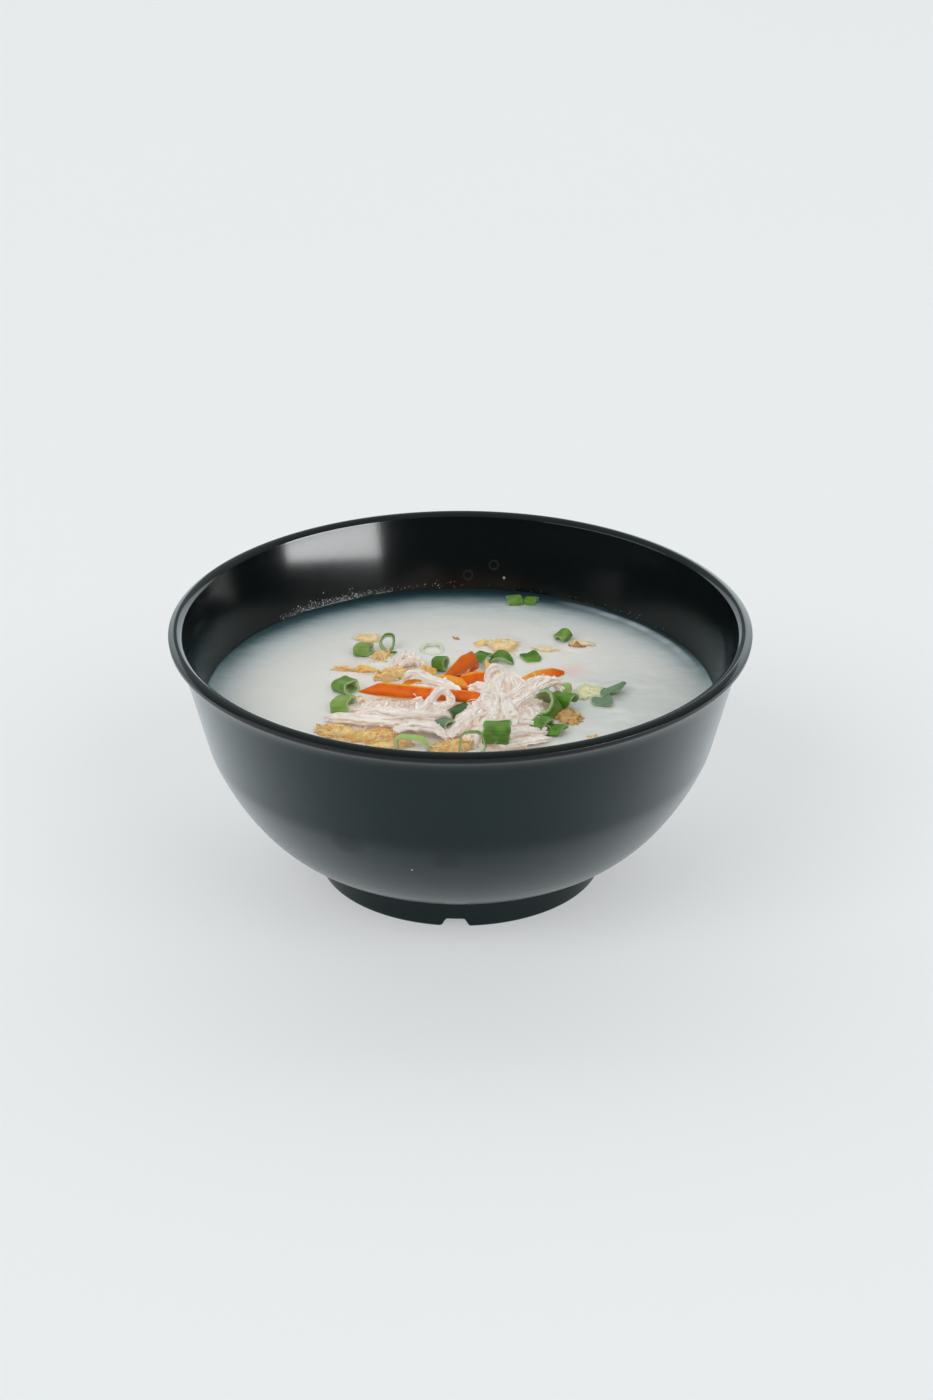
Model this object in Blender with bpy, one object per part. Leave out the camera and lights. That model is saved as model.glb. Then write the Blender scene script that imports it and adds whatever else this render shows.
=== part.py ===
"""Bowl of rice congee: black melamine bowl on a notched foot ring, rice congee up to the level it is served at,
and the toppings on it: shredded chicken, cut chilli, spring onion and fried shallots.

Lengths in the tables are millimetres; MM turns them into Blender's metres. +Z is up, the bowl's axis is Z and the
foot stands on Z = 0. The front of the dish faces -Y. The heights of toppings count from the congee's surface.
"""

import math

import bmesh
import bpy
from mathutils import Matrix, Vector

MM = 0.001

# ---- driving dimensions: bowl ----
RIM_RADIUS = 95.0  # outside of the lip
BOWL_HEIGHT = 86.8
WALL = 2.6
WALL_THINNING = 0.025  # the wall gets this much thinner per unit of height above the congee
TURN_SIDES = 40  # sides of every turned solid, the same for bowl and congee so that the gap stays even

BASE_Z = 8.8  # where the rounded belly starts
BELLY_RADIUS = 73.1  # the belly's radius without its flare
BELLY_RISE = 40.1  # height over which the belly rounds up into the straight wall
BELLY_POWER = 1.355  # the belly's section is a superellipse with these two exponents
BELLY_ROOT = 6.42
WALL_FLARE = 0.2533  # how much the wall leans out per unit of height

LIP_WIDTH = 4.0
LIP_ROUND = 1.7  # outer edge of the lip
LIP_INNER_ROUND = 1.3

FOOT_RADIUS = 47.0
FOOT_WALL = 4.2
FOOT_RECESS = 6.8  # height of the hollow under the bowl
FOOT_EDGE = 0.7
NOTCH_COUNT = 3
NOTCH_TURN = -92.0  # degrees; the first notch is at the front
NOTCH_WIDTH_LOW = 9.6
NOTCH_WIDTH_HIGH = 5.6
NOTCH_HEIGHT = 2.7

# ---- driving dimensions: contents ----
CONGEE_LEVEL = 60.2
GAP = 0.3  # clearance between solids that touch in the real dish
SINK = 2.2  # how deep the heaps reach below the congee's surface
HEADROOM = 20.0  # how far a bed stays open above the piece that lies in it
BED_FACETS = 5.0  # degrees; flatter corners of a bed are left out
BED_MARGIN = 0.65  # how far a bed's corners stand off its piece, so that its faces stand off by the gap
SPRING_ONION_WALL = 1.0


# ---------------------------------------------------------------- materials
def material(name, color, roughness, metallic=0.0):
    made = bpy.data.materials.new(name)
    made.use_nodes = True
    shader = made.node_tree.nodes["Principled BSDF"]
    shader.inputs["Base Color"].default_value = (*color, 1.0)
    shader.inputs["Roughness"].default_value = roughness
    shader.inputs["Metallic"].default_value = metallic
    return made


# ---------------------------------------------------------------- mesh helpers
def new_object(name, bm, finish):
    """Closes up the bmesh, turns its faces outwards and links it as an object."""
    bmesh.ops.recalc_face_normals(bm, faces=bm.faces)
    mesh = bpy.data.meshes.new(name)
    bm.to_mesh(mesh)
    bm.free()
    mesh.materials.append(finish)
    mesh.shade_smooth()
    mesh.set_sharp_from_angle(angle=math.radians(40))
    obj = bpy.data.objects.new(name, mesh)
    bpy.context.scene.collection.objects.link(obj)
    return obj


def turned(name, profile, finish, sides=TURN_SIDES):
    """A solid of revolution from (radius, height) points in millimetres that start and end on the axis."""
    bm = bmesh.new()
    points = [bm.verts.new((r * MM, 0, z * MM)) for r, z in profile]
    edges = [bm.edges.new(pair) for pair in zip(points, points[1:])]
    bmesh.ops.spin(
        bm, geom=points + edges, cent=(0, 0, 0), axis=(0, 0, 1), angle=math.tau, steps=sides, use_merge=True
    )
    bmesh.ops.remove_doubles(bm, verts=bm.verts, dist=0.01 * MM)
    return new_object(name, bm, finish)


def lofted(name, rings, finish, closed=False):
    """Skins equal loops of points (millimetres). An open loft is capped at both ends."""
    bm = bmesh.new()
    rows = [[bm.verts.new(Vector(p) * MM) for p in ring] for ring in rings]
    pairs = list(zip(rows, rows[1:] + rows[:1] if closed else rows[1:]))
    for low, high in pairs:
        for k in range(len(low)):
            after = (k + 1) % len(low)
            bm.faces.new((low[k], low[after], high[after], high[k]))
    if not closed:
        bm.faces.new(rows[0])
        bm.faces.new(rows[-1])
    return new_object(name, bm, finish)


def placed(obj, x, y, lift, heading=0.0, tilt=0.0, roll=0.0):
    """Puts a piece modelled along +X on the congee: roll about its length, tilt its +X end up, then turn it."""
    turn = Matrix.Rotation(math.radians(heading), 4, "Z")
    turn @= Matrix.Rotation(math.radians(-tilt), 4, "Y")
    turn @= Matrix.Rotation(math.radians(roll), 4, "X")
    obj.matrix_world = Matrix.Translation(Vector((x, y, CONGEE_LEVEL + lift)) * MM) @ turn
    return obj


def as_cutter(obj):
    obj.hide_render = True
    obj.display_type = "WIRE"
    return obj


def bed_of(piece):
    """A cutter for the room a piece takes: its convex hull grown by the gap, and open upwards."""
    bpy.context.view_layer.update()
    bm = bmesh.new()
    for vertex in piece.data.vertices:
        corner = piece.matrix_world @ vertex.co
        bm.verts.new(corner)
        bm.verts.new(corner + Vector((0, 0, HEADROOM * MM)))
    hull = bmesh.ops.convex_hull(bm, input=bm.verts)
    inside = {v for v in hull["geom_interior"] + hull["geom_unused"] if isinstance(v, bmesh.types.BMVert)}
    bmesh.ops.delete(bm, geom=list(inside), context="VERTS")
    bmesh.ops.dissolve_limit(bm, angle_limit=math.radians(BED_FACETS), verts=bm.verts, edges=bm.edges)
    bm.normal_update()
    moved = [vertex.co + vertex.normal * BED_MARGIN * MM for vertex in bm.verts]
    for vertex, place in zip(bm.verts, moved):
        vertex.co = place
    bmesh.ops.triangulate(bm, faces=bm.faces)
    return as_cutter(new_object("bed_" + piece.name, bm, piece.data.materials[0]))


def world_box(obj):
    corners = [obj.matrix_world @ Vector(c) for c in obj.bound_box]
    return [(min(c[i] for c in corners), max(c[i] for c in corners)) for i in range(3)]


def meet(a, b):
    return all(low_a < high_b and low_b < high_a for (low_a, high_a), (low_b, high_b) in zip(world_box(a), world_box(b)))


def cut(target, cutters):
    """Takes the cutters that reach the target out of it."""
    bpy.context.view_layer.update()
    for cutter in cutters:
        if meet(target, cutter):
            step = target.modifiers.new("cut " + cutter.name, "BOOLEAN")
            step.operation = "DIFFERENCE"
            step.solver = "EXACT"
            step.object = cutter


# ---------------------------------------------------------------- bowl
def belly_radius(z):
    """Outside radius of the body at height z: a superellipse that rounds up into a wall flaring evenly outwards."""
    below = min(1.0, max(0.0, 1 - (z - BASE_Z) / BELLY_RISE))
    return BELLY_RADIUS * (1 - below**BELLY_POWER) ** (1 / BELLY_ROOT) + WALL_FLARE * (z - BASE_Z)


def arc(center_r, center_z, radius, start, end, steps):
    """Points of an arc, from start to end degrees, 0 pointing outwards and 90 up."""
    angles = [math.radians(start + (end - start) * k / steps) for k in range(steps + 1)]
    return [(center_r + radius * math.cos(a), center_z + radius * math.sin(a)) for a in angles]


def outer_wall():
    """Outside of the body from the foot's top up to under the lip, denser where it curves most."""
    low, high = BASE_Z + 1.6, BOWL_HEIGHT - 7.0
    steps = 9
    heights = [low + (high - low) * (k / steps) ** 1.9 for k in range(steps + 1)]
    return [(belly_radius(z), z) for z in heights]


def inner_wall(shrink=0.0):
    """Inside of the bowl, from its floor up, as the outside moved in by the wall along its own normal."""
    outer = outer_wall()
    moved = []
    for k in range(1, len(outer)):
        (r0, z0), (r1, z1) = outer[k - 1], outer[min(k + 1, len(outer) - 1)]
        along = math.hypot(r1 - r0, z1 - z0)
        depth = WALL + shrink - WALL_THINNING * max(0.0, outer[k][1] - CONGEE_LEVEL)
        moved.append((outer[k][0] - depth * (z1 - z0) / along, outer[k][1] + depth * (r1 - r0) / along))
    return [(moved[0][0] * 0.8, moved[0][1] - 0.9)] + moved


def bowl(finish):
    lip_inside = RIM_RADIUS - LIP_WIDTH
    inner = inner_wall()
    floor = [(0.0, inner[0][1] - 0.3)]
    inner.append((lip_inside - 0.7, BOWL_HEIGHT - 3.4))
    lip_in = arc(lip_inside + LIP_INNER_ROUND, BOWL_HEIGHT - 0.1 - LIP_INNER_ROUND, LIP_INNER_ROUND, 180, 90, 3)
    lip_out = arc(RIM_RADIUS - LIP_ROUND, BOWL_HEIGHT - LIP_ROUND, LIP_ROUND, 90, -60, 4)
    outer = outer_wall()[::-1]
    neck = [(outer[0][0] + 0.45, outer[0][1] + 1.8)]
    foot_in = FOOT_RADIUS - FOOT_WALL
    foot = [
        (FOOT_RADIUS + 0.3, BASE_Z + 0.9),
        (FOOT_RADIUS, FOOT_EDGE),
        (FOOT_RADIUS - FOOT_EDGE, 0.0),
        (foot_in + FOOT_EDGE, 0.0),
        (foot_in, FOOT_EDGE),
        (foot_in - 0.8, FOOT_RECESS),
        (0.0, FOOT_RECESS),
    ]
    profile = floor + inner + lip_in + lip_out + neck + outer + foot
    body = turned("bowl", profile, finish)
    cut(body, [foot_notch(k, finish) for k in range(NOTCH_COUNT)])
    return body


def foot_notch(number, finish):
    """A trapezoid drawn across the foot ring, narrowing upwards, that lets air and water out from under the bowl."""
    low, high = NOTCH_WIDTH_LOW / 2, NOTCH_WIDTH_HIGH / 2
    outline = [(-low, -1.0), (low, -1.0), (low, 0.0), (high, NOTCH_HEIGHT), (-high, NOTCH_HEIGHT), (-low, 0.0)]
    rings = [[(r, y, z) for y, z in outline] for r in (FOOT_RADIUS - FOOT_WALL - 4, FOOT_RADIUS + 4)]
    cutter = as_cutter(lofted(f"notch_{number}", rings, finish))
    cutter.rotation_euler.z = math.radians(NOTCH_TURN + 360 * number / NOTCH_COUNT)
    return cutter


# ---------------------------------------------------------------- congee
def congee(finish):
    """The congee fills the bowl's inside, a gap short of the wall, up to a surface that is a little crowned."""
    side = [p for p in inner_wall(GAP) if p[1] < CONGEE_LEVEL - 1][::-2][::-1]
    edge = belly_radius(CONGEE_LEVEL) - WALL * 1.03 - GAP
    bottom = [(0.0, side[0][1])]
    top = [(edge, CONGEE_LEVEL - 0.5), (edge - 5, CONGEE_LEVEL), (0.0, CONGEE_LEVEL)]
    return turned("congee", bottom + side + top, finish)


# ---------------------------------------------------------------- toppings: shapes
def tube_piece(name, finish, radius, length, span=360, squash=1.0):
    """A slice of a hollow leaf along X. span under 360 leaves it open underneath, and squash flattens it."""
    sides = max(5, round(10 * span / 360))
    outside, inside = radius, radius - SPRING_ONION_WALL
    half = length / 2
    closed = span >= 360
    reach = math.radians(span) / 2
    rings = []
    for k in range(sides if closed else sides + 1):
        angle = -reach + 2 * reach * k / sides
        sway = 1 + 0.05 * math.cos(2 * angle + length)
        across, up = math.sin(angle) * sway, math.cos(angle) * squash * sway
        skew = 0.25 * math.sin(angle + radius)
        rings.append(
            [
                (-half + skew, across * outside, up * outside),
                (half + skew, across * outside, up * outside),
                (half - skew * 0.5, across * inside, up * inside),
                (-half - skew * 0.5, across * inside, up * inside),
            ]
        )
    return lofted(name, rings, finish, closed)


def chilli_strip(name, finish, length, width, thickness, bow, taper=0.35):
    """A strip cut along a chilli: skin bulging to +Z, flesh flat below, bowed sideways and pointed at its ends."""
    stations = 6
    rings = []
    for k in range(stations + 1):
        s = k / stations
        end = min(1.0, taper + (1 - taper) * min(s, 1 - s) * 5)
        half, thick = width / 2 * end, thickness * (0.6 + 0.4 * end)
        x = (s - 0.5) * length
        y = bow * (1 - (2 * s - 1) ** 2)
        ring = [
            (x, y - half, 0.0),
            (x, y - half * 0.55, thick * 0.8),
            (x, y + half * 0.55, thick * 0.8),
            (x, y + half, 0.0),
            (x, y + half * 0.6, -thick * 0.25),
            (x, y - half * 0.6, -thick * 0.25),
        ]
        rings.append(ring)
    return lofted(name, rings, finish)


def crisp_curl(name, finish, length, height, thickness, bend, wave):
    """A fried sliver of shallot along X: a thin band bent through `bend` degrees, with waves along it."""
    stations = 8
    turn = math.radians(bend)
    rings = []
    for k in range(stations + 1):
        s = k / stations - 0.5
        angle = turn * s
        radius = length / turn
        x, y = radius * math.sin(angle), radius * (1 - math.cos(angle))
        y += wave * math.sin(11 * s + length)
        taper = 1 - 0.6 * abs(2 * s) ** 3
        half = height / 2 * taper * (1 + 0.18 * math.sin(17 * s + height))
        out = Vector((-math.sin(angle), math.cos(angle), 0)) * thickness / 2
        middle = Vector((x, y, 0.25 * height * math.sin(7 * s + bend)))
        up = Vector((0, 0, half))
        rings.append([middle - out - up, middle + out - up, middle + out + up, middle - out + up])
    return lofted(name, rings, finish)


def heap(name, finish, size, height, peak, ridges, ridge_depth, seed):
    """A loose heap lying in the congee: an uneven outline, a crown towards `peak`, and ridges along its length."""
    half_x, half_y = size[0] / 2, size[1] / 2

    def edge(angle):
        uneven = 0.09 * math.sin(3 * angle + seed) + 0.06 * math.sin(5 * angle + 2 * seed)
        uneven += 0.04 * math.sin(8 * angle + 3 * seed)
        return half_x * math.cos(angle) * (1 + uneven), half_y * math.sin(angle) * (1 + uneven)

    def crown(x, y, share):
        away = math.hypot(x / half_x - peak[0], y / half_y - peak[1])
        swell = 0.35 + 0.65 * math.exp(-2.2 * away * away)
        ridge = math.sin(ridges * y / half_y + 0.25 * ridges * math.sin(2.5 * x / half_x + seed))
        cross = math.sin(2.1 * ridges * x / half_x + seed)
        relief = ridge_depth * (0.75 * ridge + 0.25 * cross) * (1 - share**4)
        return height * (1 - share**2) ** 0.55 * swell + relief * min(1.0, 3 * (1 - share))

    large = size[0] > 20
    sides = 24 if large else 14
    angles = [math.tau * k / sides for k in range(sides)]
    shares = (1.0, 0.92, 0.74, 0.5, 0.24) if large else (1.0, 0.8, 0.4)
    rings = [[(*edge(a), -SINK) for a in angles]]
    for share in shares:
        ring = []
        for a in angles:
            x, y = (v * share for v in edge(a))
            ring.append((x, y, 0.25 + crown(x, y, share)))
        rings.append(ring)
    return lofted(name, rings, finish)


# ---------------------------------------------------------------- toppings: where they lie
# x, y, lift (axis above the congee), heading, tilt, roll, radius, length, span, squash
SPRING_ONIONS = {
    "spring_onion_01": (-32.7, 31.0, 2.0, -24, 4, 0, 2.9, 5.6, 360, 0.82),
    "spring_onion_02": (-24.8, 34.6, 2.9, 72, 0, 0, 3.0, 2.2, 360, 1.25),
    "spring_onion_03": (-37.8, 3.0, 2.2, -58, 6, 0, 3.2, 8.0, 360, 0.8),
    "spring_onion_04": (-38.4, -11.6, 2.3, -74, 5, 0, 3.5, 7.6, 360, 0.85),
    "spring_onion_05": (-7.0, 19.8, 2.6, 38, 18, 0, 3.0, 6.0, 360, 0.85),
    "spring_onion_06": (7.0, 27.8, 1.4, -42, 8, 0, 3.4, 6.0, 130, 0.8),
    "spring_onion_07": (14.4, 25.4, 0.2, 84, 0, 0, 4.4, 3.4, 190, 1.0),
    "spring_onion_08": (23.6, 29.4, -2.4, 12, 0, 0, 4.0, 7.0, 110, 0.9),
    "spring_onion_09": (34.8, 43.4, 1.6, 55, 14, 0, 2.7, 5.0, 360, 0.85),
    "spring_onion_10": (51.0, 5.0, -2.6, -8, 0, 0, 4.2, 7.8, 115, 0.85),
    "spring_onion_11": (46.4, -3.2, -2.6, -6, 0, 0, 4.2, 7.4, 115, 0.85),
    "spring_onion_12": (34.0, 4.2, 1.6, 80, 20, 0, 2.4, 5.0, 360, 0.9),
    "spring_onion_13": (29.4, -13.4, 4.4, -118, 42, 0, 4.3, 8.4, 360, 0.9),
    "spring_onion_14": (38.2, -8.8, 2.6, -60, 8, 0, 3.6, 7.4, 200, 0.9),
    "spring_onion_15": (25.2, -24.6, 2.2, -40, 4, 0, 3.2, 5.6, 150, 0.8),
    "spring_onion_16": (32.0, -28.4, -0.4, 15, 3, 0, 4.2, 7.0, 120, 0.9),
    "spring_onion_17": (12.0, -38.6, 6.4, -8, 4, 0, 3.7, 8.8, 360, 0.95),
    "spring_onion_18": (4.0, -43.4, 4.2, 78, 0, 0, 4.4, 2.0, 360, 1.15),
    "spring_onion_19": (-15.6, -40.2, 1.6, 84, 0, 0, 5.6, 2.6, 170, 0.6),
    "spring_onion_20": (-5.4, -27.0, 4.4, -52, 10, 0, 2.9, 6.0, 360, 0.9),
    "spring_onion_21": (19.0, 72.6, 0.9, 6, 3, 0, 2.5, 5.0, 360, 0.8),
    "spring_onion_22": (24.4, 73.2, 0.7, -10, 0, 0, 2.4, 4.4, 360, 0.8),
    "spring_onion_23": (-0.6, -19.2, 3.0, 20, 8, 0, 2.7, 6.4, 200, 0.9),
}

# x, y, lift, heading, tilt, roll, length, width, thickness, bow
CHILLI_STRIPS = {
    "chilli_1": (-13.2, -12.4, 6.6, -13, 4, 52, 41.0, 5.0, 1.8, -0.6),
    "chilli_2": (-1.4, 8.6, 6.2, 46, 6, 40, 18.0, 6.4, 2.0, 1.2),
    "chilli_3": (5.0, 0.4, 6.6, 12, 2, 48, 11.0, 4.8, 1.9, 0.5),
    "chilli_4": (-3.6, -4.6, 7.4, -24, 4, 40, 13.0, 2.6, 1.4, 1.2),
    "chilli_5": (28.4, 12.8, 1.6, 32, -6, 44, 17.0, 4.4, 1.7, 0.6),
    "chilli_6": (-15.9, -0.6, 4.6, 8, 0, 44, 5.6, 2.4, 1.3, 0.2),
}

# x, y, lift, heading, tilt, roll, length, height, thickness, bend, wave
SHALLOT_CURLS = {
    "shallot_01": (-35.0, 18.2, 0.4, -12, 0, 30, 14.6, 2.4, 1.6, 24, 0.4),
    "shallot_02": (-27.0, 27.2, 1.0, -50, 4, 30, 7.5, 3.2, 1.6, 60, 0.5),
    "shallot_03": (27.4, 34.0, 0.0, -8, 0, 60, 7.4, 2.6, 1.4, 30, 0.3),
    "shallot_04": (9.4, 15.6, 2.6, -62, 8, 20, 9.0, 4.2, 1.7, 70, 0.5),
    "shallot_05": (39.6, 37.2, 0.8, -14, 4, 40, 7.0, 3.0, 1.6, 80, 0.4),
    "shallot_06": (-31.4, -8.6, 0.8, -70, 4, 30, 5.6, 3.0, 1.6, 50, 0.3),
    "shallot_07": (42.2, -30.6, 0.6, 20, 0, 50, 3.6, 1.8, 1.4, 40, 0.2),
    "shallot_08": (-12.2, 14.4, 2.4, -10, 4, 30, 7.4, 3.6, 1.6, 70, 0.4),
}

# x, y, heading, (long, across), height, peak, ridges, ridge depth, seed
SHALLOT_HEAPS = {
    "shallot_heap_1": (-40.2, -28.2, -22, (15.0, 10.0), 2.4, (0.1, 0.0), 3.4, 0.35, 0.6),
    "shallot_heap_2": (-27.6, -31.0, 10, (17.0, 9.0), 2.8, (0.2, 0.1), 3.8, 0.35, 1.9),
    "shallot_heap_3": (-2.6, -39.0, 12, (17.0, 11.0), 3.6, (0.0, 0.0), 3.6, 0.4, 2.7),
    "shallot_heap_4": (14.6, 38.0, -6, (13.0, 13.0), 1.9, (-0.5, 0.2), 2.8, 0.3, 4.4),
    "shallot_heap_5": (36.0, -17.6, 20, (9.0, 10.0), 2.8, (0.0, 0.0), 3.0, 0.4, 5.1),
    "shallot_heap_6": (42.6, 4.4, -10, (8.0, 9.0), 1.3, (0.0, 0.0), 2.6, 0.25, 3.3),
    "shallot_heap_7": (-22.0, 13.8, 24, (13.0, 9.6), 3.4, (0.2, 0.1), 3.2, 0.4, 0.2),
}
CHICKEN_HEAPS = {
    "chicken_right": (13.6, -19.0, 78, (50.0, 35.0), 15.4, (0.46, 0.12), 5.2, 0.8, 1.2),
    "chicken_left": (-20.0, -15.0, -6, (44.0, 30.0), 6.4, (0.15, 0.2), 4.6, 0.7, 2.4),
    "chicken_back": (-17.6, 23.6, 14, (9.6, 6.4), 3.0, (-0.2, 0.0), 3.0, 0.4, 3.6),
}


def spring_onion(name, finish):
    x, y, lift, heading, tilt, roll, radius, length, span, squash = SPRING_ONIONS[name]
    return placed(tube_piece(name, finish, radius, length, span, squash), x, y, lift, heading, tilt, roll)


def chilli(name, finish):
    x, y, lift, heading, tilt, roll, length, width, thickness, bow = CHILLI_STRIPS[name]
    return placed(chilli_strip(name, finish, length, width, thickness, bow), x, y, lift, heading, tilt, roll)


def shallot(name, finish):
    x, y, lift, heading, tilt, roll, length, height, thickness, bend, wave = SHALLOT_CURLS[name]
    return placed(crisp_curl(name, finish, length, height, thickness, bend, wave), x, y, lift, heading, tilt, roll)


def lying_heap(table, name, finish):
    x, y, heading, size, height, peak, ridges, ridge_depth, seed = table[name]
    return placed(heap(name, finish, size, height, peak, ridges, ridge_depth, seed), x, y, 0.0, heading)


# ---------------------------------------------------------------- the whole dish
def build():
    for obj in list(bpy.data.objects):
        bpy.data.objects.remove(obj)
    melamine = material("black_melamine", (0.018, 0.024, 0.026), 0.35)
    porridge = material("rice_congee", (0.62, 0.64, 0.62), 0.25)
    meat = material("shredded_chicken", (0.80, 0.70, 0.64), 0.45)
    red = material("chilli", (0.72, 0.13, 0.01), 0.25)
    green = material("spring_onion", (0.09, 0.29, 0.05), 0.35)
    fried = material("fried_shallot", (0.62, 0.36, 0.12), 0.55)

    bowl(melamine)
    rice = congee(porridge)

    beds = [bed_of(spring_onion(name, green)) for name in SPRING_ONIONS]
    beds += [bed_of(chilli(name, red)) for name in CHILLI_STRIPS]
    beds += [bed_of(shallot(name, fried)) for name in SHALLOT_CURLS]

    # Each heap is cut back from what lies on it and from the heaps before it, and the congee from all of them.
    for table, finish in ((SHALLOT_HEAPS, fried), (CHICKEN_HEAPS, meat)):
        for name in table:
            pile = lying_heap(table, name, finish)
            bed = bed_of(pile)
            cut(pile, beds)
            beds.append(bed)
    cut(rice, beds)


build()
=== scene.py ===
import math

import bpy
import numpy as np
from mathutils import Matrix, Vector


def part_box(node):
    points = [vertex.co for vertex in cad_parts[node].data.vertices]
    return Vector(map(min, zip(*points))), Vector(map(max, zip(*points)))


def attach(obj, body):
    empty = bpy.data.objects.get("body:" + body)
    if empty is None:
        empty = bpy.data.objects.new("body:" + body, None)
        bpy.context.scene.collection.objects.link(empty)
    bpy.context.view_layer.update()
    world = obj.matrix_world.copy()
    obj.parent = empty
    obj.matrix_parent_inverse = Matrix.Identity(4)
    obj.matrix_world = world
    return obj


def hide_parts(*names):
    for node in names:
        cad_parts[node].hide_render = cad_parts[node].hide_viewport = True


# Looks of a bowl of rice congee: the bowl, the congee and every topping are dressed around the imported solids.
# Shapes are worked out in millimetres and go into their meshes in metres. The front of the dish faces -Y.

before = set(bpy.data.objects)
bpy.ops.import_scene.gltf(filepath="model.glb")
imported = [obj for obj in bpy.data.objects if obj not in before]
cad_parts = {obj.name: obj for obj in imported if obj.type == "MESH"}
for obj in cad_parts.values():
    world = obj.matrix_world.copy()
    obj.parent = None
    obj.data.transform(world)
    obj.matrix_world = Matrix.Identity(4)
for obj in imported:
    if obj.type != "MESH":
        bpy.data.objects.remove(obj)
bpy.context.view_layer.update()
mm = 0.001
bowlHigh = np.array(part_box("bowl")[1]) / mm
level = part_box("congee")[1].z / mm
print("frame loaded, congee level", round(level, 1), "mm")

# how far a dressed piece lies from its solid's middle, in millimetres
nudged = {
    "spring_onion_04": (0.5, 0.0, 0.4), "spring_onion_05": (0.3, -1.6, 0.0),
    "spring_onion_06": (0.5, -3.4, -0.3), "spring_onion_07": (-0.7, -0.8, 0.0),
    "spring_onion_08": (0.0, -1.8, 0.0), "spring_onion_09": (0.0, -1.0, 0.0),
    "spring_onion_10": (-0.7, -4.0, 0.0), "spring_onion_11": (0.0, -3.0, 0.0),
    "spring_onion_12": (0.0, -3.0, -0.5), "spring_onion_13": (-1.6, -2.4, -0.4),
    "spring_onion_14": (-4.2, -1.0, 0.0), "spring_onion_15": (0.8, -2.4, 0.2),
    "spring_onion_16": (-1.2, 0.9, 0.2), "spring_onion_17": (-0.4, 0.0, 0.0),
    "spring_onion_20": (0.4, -2.4, -0.7), "chilli_2": (0.0, -2.4, 0.0), "chilli_5": (-1.8, -1.8, 0.0),
    "shallot_heap_4": (0.0, -1.2, 0.0), "shallot_heap_5": (-0.8, 0.0, 0.0),
    "shallot_heap_6": (0.4, -2.8, 0.0),
}


def middle(node):
    # where a dressed piece is centred, in millimetres
    low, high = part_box(node)
    return (np.array(low) + np.array(high)) / 2 / mm + nudged.get(node, (0, 0, 0))


# ---- surfaces as arrays

def fullTurn(count):
    # so many even angles round a circle, as one row
    return (np.arange(count) * math.tau / count)[None, :]


def ringFaces(rows, columns, closedRows=True):
    # quads of a grid that closes round its columns, and round its rows too where closedRows is set
    r = np.arange(rows if closedRows else rows - 1)[:, None]
    c = np.arange(columns)[None, :]
    nextRow, nextColumn = (r + 1) % rows, (c + 1) % columns
    here, above = r * columns, nextRow * columns
    corners = here + c, here + nextColumn, above + nextColumn, above + c
    return np.stack([np.broadcast_to(k, (len(r), columns)) for k in corners], axis=-1).reshape(-1, 4)


def tubeSurface(rows):
    # a closed tube: quads between the grid's rows, and a fan to a pole in the middle of each end row
    n, m, _ = rows.shape
    points = np.concatenate([rows.reshape(-1, 3), rows[:1].mean(axis=1), rows[-1:].mean(axis=1)])
    around = np.arange(m)
    after, last = (around + 1) % m, (n - 1) * m
    start = np.stack([np.full(m, n * m), after, around], axis=1)
    end = np.stack([np.full(m, n * m + 1), around + last, after + last], axis=1)
    return points, ringFaces(n, m, False).tolist() + start.tolist() + end.tolist()


def withPoles(values):
    # a value known at each grid point, in the order of tubeSurface's points
    return np.concatenate([values.reshape(-1), [values[0].mean(), values[-1].mean()]])


def volumeOf(points, faces):
    # signed volume of a closed surface, by its faces' fans against the origin
    total = 0.0
    for size in (3, 4):
        chosen = np.array([f for f in faces if len(f) == size])
        if len(chosen):
            a = points[chosen[:, 0]]
            for k in range(1, size - 1):
                b, c = points[chosen[:, k]], points[chosen[:, k + 1]]
                total += np.einsum("ij,ij->i", a, np.cross(b, c)).sum()
    return total / 6


class Batch:
    # gathers closed surfaces, each with its values per point, into one mesh

    def __init__(self):
        self.points, self.faces, self.values, self.count = [], [], {}, 0

    def add(self, surface, **values):
        points, faces = surface
        if volumeOf(points - points.mean(axis=0), faces) < 0:
            faces = [f[::-1] for f in faces]
        self.faces += [[k + self.count for k in f] for f in faces]
        self.points.append(points)
        for key, value in values.items():
            spread = np.broadcast_to(value, len(points)).astype(np.float32)
            self.values.setdefault(key, []).append(spread)
        self.count += len(points)

    def addTube(self, rows, **values):
        # a closed tube, each of its values one number or known at each point of the grid
        spread = {key: withPoles(value) if np.ndim(value) else value for key, value in values.items()}
        self.add(tubeSurface(rows), **spread)

    def piece(self, name, finish, slot, *nodes):
        # the mesh as an object that rides on the dish and stands for the nodes named
        mesh = bpy.data.meshes.new(name)
        mesh.from_pydata(np.concatenate(self.points) * mm, [], self.faces)
        for key, parts in self.values.items():
            layer = mesh.attributes.new(key, "FLOAT", "POINT")
            layer.data.foreach_set("value", np.concatenate(parts))
        mesh.materials.append(finish)
        mesh.shade_smooth()
        mesh.update()
        made = bpy.data.objects.new(name, mesh)
        bpy.context.scene.collection.objects.link(made)
        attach(made, "root")
        if nodes:
            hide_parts(*nodes)
        print("piece", name, len(self.faces), "faces")


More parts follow.
